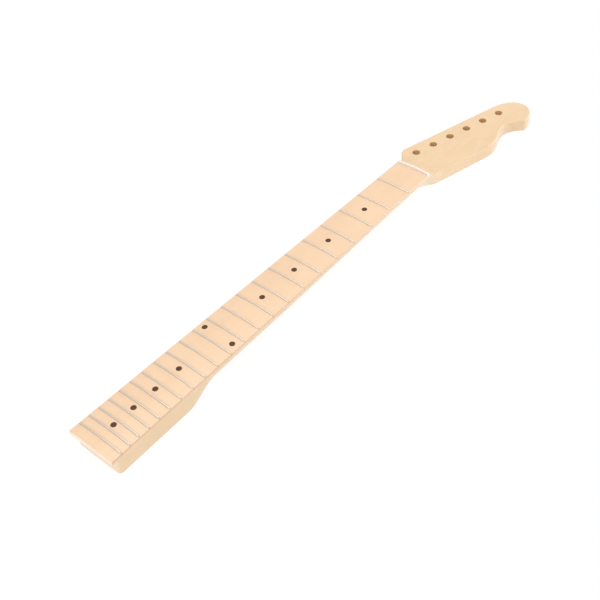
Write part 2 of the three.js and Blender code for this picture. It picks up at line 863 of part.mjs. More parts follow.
function adjusterGeometry() {

	const body = barAlongX( adjusterDiameter / 2, adjusterX, adjusterEndX, rodZ, holeFacets );
	const hexRadius = hexAcrossFlats / Math.sqrt( 3 );
	const hex = barAlongX( hexRadius, adjusterX - overrun, adjusterX + hexDepth, rodZ, hexSides );
	const seatX = adjusterEndX - rodSeatLength;
	const seat = barAlongX( rodBore, seatX, adjusterEndX + overrun, rodZ, roundFacets );
	return geometryOf( cut( solid( body ), [ hex, seat ] ) );

}

function rodGeometry() {

	const from = adjusterEndX - rodSeatLength + runningGap;
	const to = anchorHeadX + anchorLength - runningGap;
	return barAlongX( rodDiameter / 2, from, to, rodZ, roundFacets );

}

// An anchor block with the rod's bore and, between two places along it, a step for the bar's end.
function anchorGeometry( fromX, stepFromX, stepToX ) {

	const half = channelWidth / 2 - runningGap;
	const toX = fromX + anchorLength;
	const body = box( [ fromX, - half, anchorFloor ], [ toX, half, anchorTop ] );
	const bore = barAlongX( rodBore, fromX - overrun, toX + overrun, rodZ, roundFacets );
	const step = box(
		[ stepFromX, - half - overrun, barFloor - runningGap ],
		[ stepToX, half + overrun, anchorTop + overrun ],
	);
	return geometryOf( cut( solid( body ), [ bore, step ] ) );

}

function barGeometry() {

	const from = [ heelStepX + runningGap, - barWidth / 2, barFloor ];
	const to = [ headStepX - runningGap, barWidth / 2, anchorTop ];
	return box( from, to );

}

// The assembly

const guitarNeck = new THREE.Group();

function add( name, geometry, material ) {

	const mesh = new THREE.Mesh( geometry, material );
	mesh.name = name;
	guitarNeck.add( mesh );

}

add( 'neck', neckGeometry(), neckMaple );
add( 'fretboard', boardGeometry(), boardMaple );
add( 'nut', nutGeometry(), nutBone );
frets.forEach( ( fret ) => add( `fret_${ number( fret ) }`, fretGeometry( fret ), fretNickel ) );
faceDots.forEach( ( dot ) =>
	add( `face_dot_${ dot.name }`, dotGeometry( faceDotPeg( dot, 0 ) ), dotBlack ) );
sideDots.forEach( ( dot ) =>
	add( `side_dot_${ dot.name }`, dotGeometry( sideDotPeg( dot, 0 ) ), dotBlack ) );
add( 'truss_rod_adjuster', adjusterGeometry(), rodSteel );
add( 'truss_rod', rodGeometry(), rodSteel );
add( 'truss_rod_bar', barGeometry(), rodSteel );
const heelAnchor = anchorGeometry( anchorHeelX, heelStepX, anchorHeelX + anchorLength + overrun );
const headAnchor = anchorGeometry( anchorHeadX, anchorHeadX - overrun, headStepX );
add( 'truss_rod_anchor_heel', heelAnchor, anchorBrass );
add( 'truss_rod_anchor_head', headAnchor, anchorBrass );

export default guitarNeck;
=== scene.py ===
"""Fine surfaces and finishes of a bolt-on maple guitar neck, built around its CAD frame.

Metres. The back of the heel lies on z = 0, +X runs to the headstock and +Y to the bass side.
"""

import bmesh
import bpy
import numpy as np
from bpy.props import FloatProperty, FloatVectorProperty, IntProperty, PointerProperty
from mathutils import Euler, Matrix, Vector
from mathutils.geometry import delaunay_2d_cdt


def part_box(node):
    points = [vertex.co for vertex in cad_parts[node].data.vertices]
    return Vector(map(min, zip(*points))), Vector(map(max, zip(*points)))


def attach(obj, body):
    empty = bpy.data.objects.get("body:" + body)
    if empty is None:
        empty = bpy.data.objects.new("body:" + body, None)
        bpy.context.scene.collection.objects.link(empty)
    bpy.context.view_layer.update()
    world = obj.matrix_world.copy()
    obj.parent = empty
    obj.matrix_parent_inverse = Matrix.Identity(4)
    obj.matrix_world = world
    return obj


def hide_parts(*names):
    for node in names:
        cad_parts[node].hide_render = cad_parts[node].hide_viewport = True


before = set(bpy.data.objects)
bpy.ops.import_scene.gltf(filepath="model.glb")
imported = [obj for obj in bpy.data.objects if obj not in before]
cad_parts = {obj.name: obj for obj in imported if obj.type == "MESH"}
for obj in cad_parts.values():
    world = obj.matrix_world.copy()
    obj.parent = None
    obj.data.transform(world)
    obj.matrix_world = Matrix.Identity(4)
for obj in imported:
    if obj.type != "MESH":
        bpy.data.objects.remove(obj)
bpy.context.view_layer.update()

bl_info = {
    "name": "Guitar neck",
    "version": (1, 0, 0),
    "blender": (4, 5, 0),
    "location": "View3D > Sidebar > Guitar neck",
    "description": "Dresses the CAD frame of a bolt-on guitar neck with fine surfaces and finishes",
    "category": "Add Mesh",
}

MM = 0.001
QUARTER = np.pi / 2
TURN = 2 * np.pi

# Places read from the frame

BOARD_LOW, BOARD_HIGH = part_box("fretboard")
NECK_LOW, NECK_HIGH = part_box("neck")
NUT_LOW, NUT_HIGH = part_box("nut")
ADJUSTER_LOW, ADJUSTER_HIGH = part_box("truss_rod_adjuster")
ROD_END_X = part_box("truss_rod_anchor_head")[1].x
BOARD_END_X = BOARD_LOW.x
BOARD_TOP_Z = BOARD_HIGH.z
GLUE_Z = BOARD_LOW.z
HEEL_END_X = NECK_LOW.x
HEEL_HALF = BOARD_HIGH.y
NUT_X = NUT_LOW.x
NUT_BACK_X = NUT_HIGH.x
NUT_HALF = NUT_HIGH.y
HEAD_TREBLE_REACH = -NECK_LOW.y
HEAD_LENGTH = NECK_HIGH.x - NUT_X
ROD_Z = (ADJUSTER_LOW.z + ADJUSTER_HIGH.z) / 2
FRETS = sorted(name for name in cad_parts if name.startswith("fret_"))
FACE_DOTS = sorted(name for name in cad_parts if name.startswith("face_dot_"))
SIDE_DOTS = sorted(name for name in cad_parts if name.startswith("side_dot_"))

# Heel and round back

CROWN_RADIUS = 241.3 * MM
HEEL_FLAT_END_X = HEEL_END_X + 87.5 * MM
SHAFT_END_X = HEEL_FLAT_END_X + 42 * MM
HEAD_BLEND_X = NUT_X - 18 * MM
HEAD_BLEND_END_X = NUT_X + 29 * MM
DEPTH_AT_NUT = 20.5 * MM
DEPTH_AT_HEEL = 23 * MM
LEAN_AT_NUT = 0.55
LEAN_AT_HEEL = 0.2
LEAN_START_X = 150 * MM
FULLNESS_AT_NUT = 0.75
FULLNESS_AT_HEEL = 0.86
SIDE_DROP = 0.4 * MM
SIDE_TAPER = 0.7 * MM
SIDE_TAPER_START_X = 230 * MM
SIDE_TAPER_END_X = 410 * MM
BACK_EDGE_RADIUS = 0.8 * MM
HEEL_CORNER_RADIUS = 4 * MM

# Headstock

HEAD_THICKNESS = 14.2 * MM
HEAD_EDGE_ANGLE = np.radians(16.33)
SHOULDER_START_X = NUT_X + 6 * MM
PLATE_X = SHOULDER_START_X + 27.5 * MM
SHOULDER_RISE = 16.4 * MM
SHOULDER_TURN = 1.3 * MM
FACE_EDGE_RADIUS = 1.8 * MM
TREBLE_BEND_X = NUT_X + 19 * MM
TREBLE_BEND = 10 * MM
RAMP_RADIUS = 16 * MM
RAMP_END_X = NUT_X + 20 * MM
JOIN_X = HEAD_BLEND_END_X + 2 * MM
TUNER_RADIUS = 4.4 * MM
TUNER_COUNT = 6
TUNER_PITCH = 24.7 * MM
TUNER_EDGE_DISTANCE = 14 * MM
FIRST_TUNER = 5.9 * MM
HOLE_LIP = 0.35 * MM

# Board, frets, nut and dots

BOARD_STEP = 6 * MM
BOARD_EDGE_ROLL = 0.4 * MM
BOARD_END_ROUND = 0.5 * MM
RAMP_TOP_BLEND = 0.35 * MM
SEAT_GAP = 0.05 * MM
FRET_WIDTH = 2.4 * MM
FRET_HEIGHT = 1.15 * MM
TANG_WIDTH = 0.6 * MM
TANG_DEPTH = 1.9 * MM
FRET_END_INSET = 0.6 * MM
FRET_BEVEL = 0.7
FRET_TIP = 0.35 * MM
FRET_TIP_HEIGHT = 0.86
FRET_TIP_NARROWING = 0.3
NUT_PROUD = 1.7 * MM
NUT_SEAT_DEPTH = 3.4 * MM
NUT_BACK_FALL = 0.5 * MM
NUT_END_ROUND = 2.2 * MM
NUT_FRONT_ROUND = 0.45 * MM
NUT_BACK_ROUND = 0.9 * MM
NUT_END_INSET = 0.3 * MM
STRING_SPREAD = 35 * MM
STRING_DEPTH = 0.5 * MM
STRING_WIDTHS = np.array([1.3, 1.1, 0.9, 0.7, 0.6, 0.6]) * MM
GROOVE_RIM = 0.03 * MM
GROOVE_POWER = 4
GROOVE_WALL_SHARE = 0.45
DOT_PROUD = 0.03 * MM
DOT_EDGE = 0.06 * MM
DOT_TOP_SHARE = 0.5
DOT_SIDE = 0.8 * MM

# Truss rod

CHANNEL_HALF = 3.4 * MM
CHANNEL_FLOOR_Z = GLUE_Z - 10 * MM
ROD_CLEARANCE = 0.3 * MM
BORE_RADIUS = 5.1 * MM
BORE_END_X = ADJUSTER_HIGH.x + ROD_CLEARANCE
CHANNEL_START_X = BORE_END_X + ROD_CLEARANCE
CHANNEL_END_X = ROD_END_X + ROD_CLEARANCE
HEX_ACROSS_FLATS = 4.76 * MM
HEX_DEPTH = 8 * MM
HEX_SIDES = 6
SOCKET_MOUTH_SHARE = 1.12
SOCKET_LIP = 0.3 * MM
ADJUSTER_CHAMFER = 0.7 * MM
ADJUSTER_SEAT_SHARE = 0.7

# Points of a stretch, a quarter circle or a whole turn

EDGE_POINTS = 9
WALL_POINTS = 13
CORNER_POINTS = 9
BACK_POINTS = 17
STATION_POINTS = {
    "end_round": 9, "corner_round": 15, "heel": 10, "heel_blend": 43, "shaft": 70,
    "head_blend": 42, "ramp": 17, "head": 17,
}
CORNER_ROUND_START = 5
STATION_DECIMALS = 7
OUTLINE_STEPS = {
    "shoulder": 10, "bass": 24, "tip": 36, "hook": 36, "hook_corner": 10,
    "scoop": 30, "bump": 36, "bump_corner": 12,
}
JOIN_POINTS = 9
FLARE_POINTS = 22
BORE_LIP_POINTS = 6
HOLE_LIP_POINTS = 5
HOLE_POINTS = 48
BOARD_ROUND_POINTS = 6
BOARD_ACROSS_POINTS = 41
BOARD_RAMP_POINTS = 34
FRET_DOME_POINTS = 15
FRET_ACROSS_POINTS = 25
NUT_ACROSS_POINTS = 31
NUT_ROUND_POINTS = 6
NUT_END_POINTS = 9
GROOVE_POINTS = 9
DOT_RIM_POINTS = 4
FACE_DOT_POINTS = 40
SIDE_DOT_POINTS = 28
ADJUSTER_POINTS = 72

# Meshes: how flats are filled, points merged and edges creased, in degrees

FILL_INSIDE = 1
FILL_TOLERANCE = 1e-9
MERGE_DISTANCE = 0.002 * MM
CREASE = 30
FINE_CREASE = 40

# Finishes: a noise is its scale per millimetre on each axis, detail, roughness and distortion

WHITE = (1, 1, 1, 1)
COLOR = "NodeSocketColor"
NUMBER = "NodeSocketFloat"
VECTOR = "NodeSocketVector"
SURFACE = {"Color": COLOR, "Roughness": NUMBER, "Height": NUMBER}
NOISE_MIDDLE = 0.5
NOISE_ROUGHNESS = 0.5
WANDER_NOISE = ((0.011, 0.03, 0.03), 3)
WANDER_REACH = 26
RING_STRETCH = (0.02, 1, 1)
LATE_WOOD_POWER = 3
FIBRE_NOISE = ((0.03, 1.6, 1.6), 5, 0.65)
FIBRE_STRENGTH = 0.55
FIBRE_RELIEF = 0.3
DASH_NOISE = ((0.45, 4, 4), 1)
DASH_SPREAD = (0.66, 0.8)
PATCH_NOISE = ((0.016, 0.045, 0.045), 2)
CURL_NOISE = ((0.16, 0.035, 0.035), 1, NOISE_ROUGHNESS, 0.6)
CURL_STRENGTH = 0.16
PLAIN_TONE = 0.12
WOOD_ROUGHNESS = 0.24
ROUGHNESS_SPREAD = 0.12
WOOD_RELIEF = 0.03 * MM
LACQUER_ROUGHNESS = 0.12
# Grain of the neck and board, with painted shade on the sides towards the heel, painted light towards the
# nut and painted light on the ends that face the heel; the board's sides are shaded most just under the top
# edge
NECK_FIGURE_AND_PAINTED_LIGHT = {
    "Pith": (0, -30, -150), "Ring strength": 0.1, "Dash strength": 0.2, "Patch strength": 0.4,
    "Heel side shade": (0.925, 0.93, 0.95, 1), "Nut side light": (0.935, 1.05, 1.16, 1), "Tone power": 0.7,
    "Low band shade": WHITE, "Band height": 0, "Painted end light": (0.98, 1.04, 1.16, 1),
    "Head end tone": (0.885, 0.895, 0.89, 1), "Bare walls": 1,
}
BOARD_FIGURE_AND_PAINTED_LIGHT = {
    "Pith": (0, 22, 190), "Ring strength": 0.08, "Dash strength": 0.25, "Patch strength": 0.4,
    "Heel side shade": (0.79, 0.775, 0.766, 1), "Nut side light": (0.99, 1.07, 1.16, 1), "Tone power": 0.6,
    "Low band shade": (0.92, 0.94, 0.93, 1), "Band height": GLUE_Z + 1.6 * MM,
    "Painted end light": (1.04, 1.17, 1.27, 1), "Head end tone": WHITE, "Bare walls": 0,
}
BOARD_RING_SHARE = 0.8
# How far a face must turn sideways to take the painted side light and shade
SIDE_LEAN = (0.55, 0.95)
# Even painted light on the headstock's sides
HEAD_SIDE_PAINTED_LIGHT = (1.01, 1.04, 1.09, 1)
BAND_BLUR = 0.3 * MM
# How far a face must turn towards the heel to take the painted end light, or the headstock's end-grain tone
END_LEAN = (0.15, 0.6)
BARE_TONE = (0.86, 0.81, 0.7, 1)
BARE_EDGE = HOLE_LIP / 4
BARE_END_X = BORE_END_X + MM
WORN_COLOR = (0.52, 0.45, 0.38, 1)
WORN_NOISE = ((0.35, 0.35, 0.35), 2)
WORN_STRENGTH = 0.3
MARK_DETAIL = 4
MARK_SHARPNESS = 0.7
MARK_SPREAD = 0.14
MARK_RELIEF = 0.01 * MM
FRET_MARKS = (6, 0.5, 6)
FRET_ROUGHNESS = 0.36
ROD_MARKS = (0.5, 5, 5)
STEEL_ROUGHNESS = 0.28
BRASS_ROUGHNESS = 0.25
DRIFT_NOISE = ((0.25, 0.25, 0.25), 3)
DRIFT_SPREAD = (0.35, 0.7)
GRAIN_NOISE = ((3, 0.8, 3), 3)
GRAIN_RELIEF = 0.008 * MM
SMOOTH_ROUGHNESS = 0.3
POLISH_ROUGHNESS = 0.1
NUT_TINT = (0.87, 0.79, 0.73, 1)
NUT_COAT = 0.2
NUT_SPECULAR = 0.5
DOT_TINT = (0.09, 0.045, 0.02, 1)
DOT_SPECULAR = 0.25

# Stage: a floor is its grey and its glow, a lamp its place, target and size

SENSOR_WIDTH = 36
FAR_CLIP = 100
SEEN_FLOOR = (0.07, 0.94)
LIGHTING_FLOOR = (0.8, 0.43)
LAMP_TARGET = (0.29, 0, 0.02)
KEY_LAMP = ((0.2, -0.2, 1.8), (0.2, -0.2, 0), (2.4, 2.1))
FILL_LAMP = ((2, -0.6, 0.8), LAMP_TARGET, (1.2, 1.2))
END_LAMP = ((-1.6, -0.6, 0.9), LAMP_TARGET, (1.2, 1.2))

# The headstock's outline, as shares of its length and of its treble reach

OUTLINE_SHARES = {
    "tip_start": 0.876,
    "tip_lead": 0.055,
    "tip_side": (1, -0.272),
    "tip": (1, -0.554),
    "hook_lead": (1, -0.79),
    "hook_side": (0.94, -1),
    "hook_end": (0.86, -1),
    "hook_corner": (0.849, -1),
    "scoop_start": (0.841, -0.962),
    "scoop_side": (0.82, -0.863),
    "scoop_floor": (0.78, -0.681),
    "scoop_top": (0.726, -0.681),
    "scoop_run": (0.658, -0.681),
    "bump_lead": (0.6, -0.8635),
    "bump": (0.5335, -0.8635),
    "bump_corner": (0.509, -0.8635),
    "bump_end": 0.467,
}


def lerp(a, b, share):
    """The straight mix a + (b - a) * share."""
    return a + (b - a) * share


def smooth(x, low, high):
    """The S-curve 3t^2 - 2t^3, with t the place of x between low and high."""
    t = np.clip((x - low) / (high - low), 0, 1)
    return t * t * (3 - 2 * t)


def quarter(count):
    """Even steps over a quarter turn."""
    return np.linspace(0, QUARTER, count)


def whole(count):
    """Even steps over a whole turn, without its end."""
    return np.linspace(0, TURN, count, endpoint=False)


def rounding(count):
    """A round corner of radius one, as its distances 1 - sin t and 1 - cos t from the two sides."""
    turns = quarter(count)
    return 1 - np.sin(turns), 1 - np.cos(turns)


def fall(past, radius):
    """How far a round edge has fallen at a distance past its start: r - sqrt(r^2 - d^2)."""
    return radius - np.sqrt(np.maximum(radius ** 2 - np.maximum(past, 0) ** 2, 0))


def circle(centre, radius, turns):
    """Both coordinates of a circle: the centre plus the radius times cos t and sin t."""
    return centre[0] + radius * np.cos(turns), centre[1] + radius * np.sin(turns)


def spots(*parts):
    """Points from their coordinates, each stretched over the same grid."""
    return np.stack(np.broadcast_arrays(*parts), -1)


def soft_min(a, b, radius):
    """The lesser of two heights, with the corner between them rounded over about radius."""
    gap = np.clip(0.5 + (b - a) / (2 * radius), 0, 1)
    return lerp(b, a, gap) - radius * gap * (1 - gap)


def taper_half(x):
    """Half width of the tapering neck: a straight line from the board's end to the nut, then level."""
    return lerp(NUT_HALF, HEEL_HALF, np.maximum((NUT_X - x) / (NUT_X - BOARD_END_X), 0))


def crown_z(y):
    """Height of the crowned board top: a circular arc of the crown radius across the neck."""
    return BOARD_TOP_Z - CROWN_RADIUS + np.sqrt(CROWN_RADIUS ** 2 - y ** 2)


def outline_point(name):
    """A point of the headstock's outline, from its shares."""
    along, across = OUTLINE_SHARES[name]
    return np.array([NUT_X + along * HEAD_LENGTH, across * HEAD_TREBLE_REACH])


BUMP_CORNER = outline_point("bump_corner")
TREBLE_SLOPE = (-BUMP_CORNER[1] - NUT_HALF) / (BUMP_CORNER[0] - TREBLE_BEND_X - TREBLE_BEND / 2)


def treble_edge(x):
    """Treble half width: the taper, then a parabola over the bend that turns into a straight flare."""
    past = x - TREBLE_BEND_X
    flare = np.clip(past, 0, TREBLE_BEND) ** 2 / (2 * TREBLE_BEND) + np.maximum(past - TREBLE_BEND, 0)
    return taper_half(x) + TREBLE_SLOPE * flare


def bass_edge(x):
    """Bass half width: the taper, then an S-curve that stands out to the shoulder."""
    return taper_half(x) + SHOULDER_RISE * smooth(x, SHOULDER_START_X, PLATE_X)


def glue_inset(x):
    """How far the board's sides lean in at the glue line: an S-curve to the nut and back behind it."""
    rise = smooth(x, SIDE_TAPER_START_X, SIDE_TAPER_END_X)
    return SIDE_TAPER * rise * (1 - smooth(x, NUT_X, RAMP_END_X))


EDGE_DIRECTION = np.array([np.cos(HEAD_EDGE_ANGLE), -np.sin(HEAD_EDGE_ANGLE)])
SHOULDER_CORNER = np.array([PLATE_X + SHOULDER_TURN, bass_edge(PLATE_X)])
SHOULDER_END = SHOULDER_CORNER + SHOULDER_TURN * EDGE_DIRECTION


def curve_points(controls, steps):
    """Points of a Bezier curve of any degree, by repeated straight mixes of its controls."""
    share = np.linspace(0, 1, steps + 1)[:, None]
    rows = [np.tile(np.asarray(c, float), (steps + 1, 1)) for c in controls]
    while len(rows) > 1:
        rows = [lerp(a, b, share) for a, b in zip(rows, rows[1:])]
    return rows[0]


def head_outline():
    """The outline beyond the shoulder: bass edge, tip, hook, scoop and bump, joined Bezier curves."""
    at = outline_point
    run = (NUT_X + OUTLINE_SHARES["tip_start"] * HEAD_LENGTH - SHOULDER_END[0]) / EDGE_DIRECTION[0]
    tip_start = SHOULDER_END + run * EDGE_DIRECTION
    tip_lead = tip_start + OUTLINE_SHARES["tip_lead"] * HEAD_LENGTH * EDGE_DIRECTION
    bump_end_x = NUT_X + OUTLINE_SHARES["bump_end"] * HEAD_LENGTH
    bump_end = np.array([bump_end_x, -treble_edge(bump_end_x)])
    start = np.array([PLATE_X, SHOULDER_CORNER[1]])
    stretches = {
        "shoulder": (start, SHOULDER_CORNER, SHOULDER_END),
        "bass": (SHOULDER_END, tip_start),
        "tip": (tip_start, tip_lead, at("tip_side"), at("tip")),
        "hook": (at("tip"), at("hook_lead"), at("hook_side"), at("hook_end")),
        "hook_corner": (at("hook_end"), at("hook_corner"), at("scoop_start")),
        "scoop": (at("scoop_start"), at("scoop_side"), at("scoop_floor"), at("scoop_top")),
        "bump": (at("scoop_top"), at("scoop_run"), at("bump_lead"), at("bump")),
        "bump_corner": (at("bump"), BUMP_CORNER, bump_end),
    }
    curves = [curve_points(controls, OUTLINE_STEPS[name])[:-1] for name, controls in stretches.items()]
    join = np.linspace(JOIN_X, PLATE_X, JOIN_POINTS)
    back = np.linspace(bump_end_x, JOIN_X, FLARE_POINTS)
    return np.concatenate([spots(join, bass_edge(join))[:-1], *curves, spots(back, -treble_edge(back))])


def tuner_centres():
    """Centres of the tuner holes, in a line parallel to the bass edge."""
    inward = np.array([EDGE_DIRECTION[1], -EDGE_DIRECTION[0]])
    first = SHOULDER_END + TUNER_EDGE_DISTANCE * inward + FIRST_TUNER * EDGE_DIRECTION
    return first + np.arange(TUNER_COUNT)[:, None] * TUNER_PITCH * EDGE_DIRECTION


# Mesh helpers

def new_object(name, data):
    """An object with its data, in the scene."""
    thing = bpy.data.objects.new(name, data)
    bpy.context.scene.collection.objects.link(thing)
    return thing


def grid_faces(rows, columns, start=0, closed=False):
    """Quads between neighbouring points of a grid, row by row. Closed rows end where they start."""
    row = np.arange(rows - 1)[:, None] * columns
    here = np.arange(columns if closed else columns - 1)
    beside = (here + 1) % columns
    quads = [row + here, row + beside, row + columns + beside, row + columns + here]
    return (start + np.stack(quads, -1)).reshape(-1, len(quads)).tolist()


class Skin:
    """Points and faces of one piece, gathered surface by surface."""

    def __init__(self):
        self.points = []
        self.faces = []
        self.count = 0

    def add_points(self, points):
        """Adds points and gives the number of the first."""
        start = self.count
        self.points.append(np.asarray(points, float).reshape(-1, 3))
        self.count += len(self.points[-1])
        return start

    def add_grid(self, grid, closed=True):
        """Adds a surface of two parameters, given as its rows of points."""
        start = self.add_points(grid)
        self.faces += grid_faces(*grid.shape[:2], start, closed)

    def add_cap(self, ring):
        """Closes a ring of points with a fan from its middle."""
        start = self.add_points([ring.mean(0), *ring])
        here = np.arange(len(ring))
        self.faces += (start + spots(0, here + 1, (here + 1) % len(ring) + 1)).tolist()

    def add_flat(self, loops, z):
        """Fills a flat face at height z inside the first loop and outside the others."""
        flat = np.concatenate(loops)
        edges, first = [], 0
        for loop in loops:
            here = np.arange(len(loop))
            edges.append(first + spots(here, (here + 1) % len(loop)))
            first += len(loop)
        edges = np.concatenate(edges).tolist()
        filled = delaunay_2d_cdt(flat.tolist(), edges, [], FILL_INSIDE, FILL_TOLERANCE)
        corners = np.array([tuple(p) for p in filled[0]])
        faces = np.array(filled[2])
        middles = corners[faces].mean(1)
        for loop in loops[1:]:
            reach = np.linalg.norm(loop[0] - loop.mean(0))
            outside = np.linalg.norm(middles - loop.mean(0), axis=1) > reach
            faces, middles = faces[outside], middles[outside]
        start = self.add_points(np.column_stack([corners, np.full(len(corners), z)]))
        self.faces += (start + faces).tolist()

    def to_piece(self, name, crease=CREASE):
        """The finished mesh object: shared points merged, faces outwards, creases sharp."""
        mesh = bpy.data.meshes.new(name)
        mesh.from_pydata(np.concatenate(self.points).tolist(), [], self.faces)
        work = bmesh.new()
        work.from_mesh(mesh)
        bmesh.ops.remove_doubles(work, verts=work.verts, dist=MERGE_DISTANCE)
        bmesh.ops.recalc_face_normals(work, faces=work.faces)
        work.to_mesh(mesh)
        work.free()
        mesh.shade_smooth()
        mesh.set_sharp_from_angle(angle=np.radians(crease))
        piece = new_object(name, mesh)
        even = piece.modifiers.new("even_shading", "WEIGHTED_NORMAL")
        even.keep_sharp = True
        return piece


def capped_rings(rings, name):
    """A piece of rings that is closed at both ends."""
    skin = Skin()
    skin.add_grid(rings)
    skin.add_cap(rings[0])
    skin.add_cap(rings[-1])
    return skin.to_piece(name)


def settle(piece, node, body, material):
    """Gives a finished piece its material and its body, and hides the CAD node that it stands for."""
    piece.data.materials.append(material)
    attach(piece, body)
    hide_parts(node)


# Neck

SEAM_ANGLE = np.arccos(1 - (GLUE_Z - HEAD_THICKNESS) / RAMP_RADIUS)
SEAM_X = RAMP_END_X - RAMP_RADIUS * np.sin(SEAM_ANGLE)


def ramp_z(x):
    """The ramp behind the nut: an arc that ends in the headstock's face, level before its start."""
    return HEAD_THICKNESS + fall(RAMP_END_X - x, RAMP_RADIUS)


def front_z(x):
    """Front of the neck: the glue plane, the ramp behind the nut, the headstock's face."""
    return np.minimum(ramp_z(x), GLUE_Z)


def block_share(x):
    """How far a section is a square block: one in the heel and the headstock, zero between."""
    heel_share = 1 - smooth(x, HEEL_FLAT_END_X, SHAFT_END_X)
    return np.maximum(heel_share, smooth(x, HEAD_BLEND_X, HEAD_BLEND_END_X))


EDGE_TURNS = quarter(EDGE_POINTS)
WALL_STEPS = np.linspace(0, 1, WALL_POINTS)[1:]
CORNER_STEPS = np.linspace(0, 1, CORNER_POINTS)[1:]
BACK_STEPS = np.linspace(0, 1, BACK_POINTS)[1:]
ARC_LENGTH = BACK_EDGE_RADIUS * QUARTER
CHANNEL_SIDES = CHANNEL_HALF * np.array([-1, -1, 1, 1])


def plan_half(x, half, inset):
    """Half width seen from above, drawn in by an inset: straight, then round the heel's corner."""
    past = np.maximum(HEEL_END_X + HEEL_CORNER_RADIUS - x, 0)
    reach = (HEEL_CORNER_RADIUS - inset) ** 2 - past ** 2
    return half - HEEL_CORNER_RADIUS + np.sqrt(np.maximum(reach, 0))


def half_section(x, half):
    """One side of the section at each x: front edge, then a mix of a square block and a round back.

    The block goes down the wall, round a quarter circle and in to the middle, at a speed that
    changes without a step. The same quarter circle runs round the bottom of the heel's end, so a
    section there stops at the turn where it meets the end. The round back is a conic with its
    middle point leant inwards.
    """
    x, half = x[:, None], half[:, None]
    top_z = front_z(x)
    rounded = smooth(x, SEAM_X, RAMP_END_X)
    side = plan_half(x, half, 0)
    edge_y = side - FACE_EDGE_RADIUS * (1 - np.sin(EDGE_TURNS)) * rounded
    plain_drop = SIDE_DROP * EDGE_TURNS / QUARTER
    edge_z = top_z - lerp(plain_drop, FACE_EDGE_RADIUS * (1 - np.cos(EDGE_TURNS)), rounded)
    top = edge_z[:, -1:]

    wall_end = ARC_LENGTH / (top - BACK_EDGE_RADIUS)
    wall = (2 - wall_end) * WALL_STEPS + (wall_end - 1) * WALL_STEPS ** 2
    wall_z = lerp(top, BACK_EDGE_RADIUS, wall)
    last_turn = np.arccos(np.clip(1 - (x - HEEL_END_X) / BACK_EDGE_RADIUS, 0, 1))
    turns = last_turn * CORNER_STEPS
    corner_y = plan_half(x, half, BACK_EDGE_RADIUS * (1 - np.cos(turns)))
    corner_z = BACK_EDGE_RADIUS * (1 - np.sin(turns))
    back_start = ARC_LENGTH / (half - BACK_EDGE_RADIUS)
    back = back_start * BACK_STEPS + (1 - back_start) * BACK_STEPS ** 2
    back_y = corner_y[:, -1:] * (1 - back)
    square_y = np.concatenate([side + 0 * wall_z, corner_y, back_y], 1)
    square_z = np.concatenate([wall_z, corner_z, corner_z[:, -1:] + 0 * back_y], 1)

    share = np.concatenate([WALL_STEPS, 1 + CORNER_STEPS, 2 + BACK_STEPS]) / 3
    along = np.clip((NUT_X - x) / (NUT_X - SHAFT_END_X), 0, 1)
    low_z = BOARD_TOP_Z - lerp(DEPTH_AT_NUT, DEPTH_AT_HEEL, along)
    lean = lerp(LEAN_AT_HEEL, LEAN_AT_NUT, smooth(x, LEAN_START_X, NUT_X)) * (top - low_z)
    start = (1 - share) ** 2
    middle = 2 * share * (1 - share) * lerp(FULLNESS_AT_NUT, FULLNESS_AT_HEEL, along)
    end = share ** 2
    total = start + middle + end
    round_y = (start * half + middle * (half - lean)) / total
    round_z = (start * top + (middle + end) * low_z) / total

    block = block_share(x)
    low_y = lerp(round_y, square_y, block)
    low_z = lerp(round_z, square_z, block)
    return spots(x, np.concatenate([edge_y, low_y], 1), np.concatenate([edge_z, low_z], 1))


def neck_stations():
    """Places along the neck, close together where the section changes.

    The small round below the heel's end already has places for the start of the corners' round.
    """
    count = STATION_POINTS
    spans = [
        HEEL_END_X + BACK_EDGE_RADIUS * rounding(count["end_round"])[1],
        HEEL_END_X + HEEL_CORNER_RADIUS * rounding(count["corner_round"])[1][CORNER_ROUND_START:],
        np.linspace(HEEL_END_X + HEEL_CORNER_RADIUS, HEEL_FLAT_END_X, count["heel"]),
        np.linspace(HEEL_FLAT_END_X, SHAFT_END_X, count["heel_blend"]),
        np.linspace(SHAFT_END_X, HEAD_BLEND_X, count["shaft"]),
        np.linspace(HEAD_BLEND_X, SEAM_X, count["head_blend"]),
        RAMP_END_X - RAMP_RADIUS * np.sin(np.linspace(0, SEAM_ANGLE, count["ramp"])),
        np.linspace(RAMP_END_X, JOIN_X, count["head"]),
    ]
    x = np.unique(np.round(np.concatenate(spans), STATION_DECIMALS))
    return np.sort(np.concatenate([x, [CHANNEL_START_X] * 2, [CHANNEL_END_X] * 2]))


def neck_rings(x):
    """Closed sections at each x: bass side down, treble side up, then across the truss-rod channel."""
    bass = half_section(x, bass_edge(x) - glue_inset(x))
    treble = half_section(x, treble_edge(x) - glue_inset(x))[:, -2::-1] * [1, -1, 1]
    inside = (x >= CHANNEL_START_X) & (x <= CHANNEL_END_X)
    inside[np.flatnonzero(x == CHANNEL_START_X)[:1]] = False
    inside[np.flatnonzero(x == CHANNEL_END_X)[-1:]] = False
    top = front_z(x)
    depth = np.stack([top] + [np.where(inside, CHANNEL_FLOOR_Z, top)] * 2 + [top], -1)
    return np.concatenate([bass, treble, spots(x[:, None], CHANNEL_SIDES, depth)], 1)


def add_heel_end(skin, ring):
    """The heel's end: a flat face from the end ring to the adjuster's bore, and the bore.

    The face runs straight from each point of the ring to the point of the bore at the same angle.
    """
    angle = np.arctan2(ring[:, 2] - ROD_Z, ring[:, 1])
    widening, sinking = rounding(BORE_LIP_POINTS)
    radius = np.concatenate([BORE_RADIUS + HOLE_LIP * widening, [BORE_RADIUS]])[:, None]
    depth = np.concatenate([HOLE_LIP * sinking, [BORE_END_X - HEEL_END_X]])[:, None]
    bore = spots(HEEL_END_X + depth, *circle((0, ROD_Z), radius, angle))
    skin.add_grid(np.concatenate([ring[None], bore]))
    skin.add_cap(bore[-1])


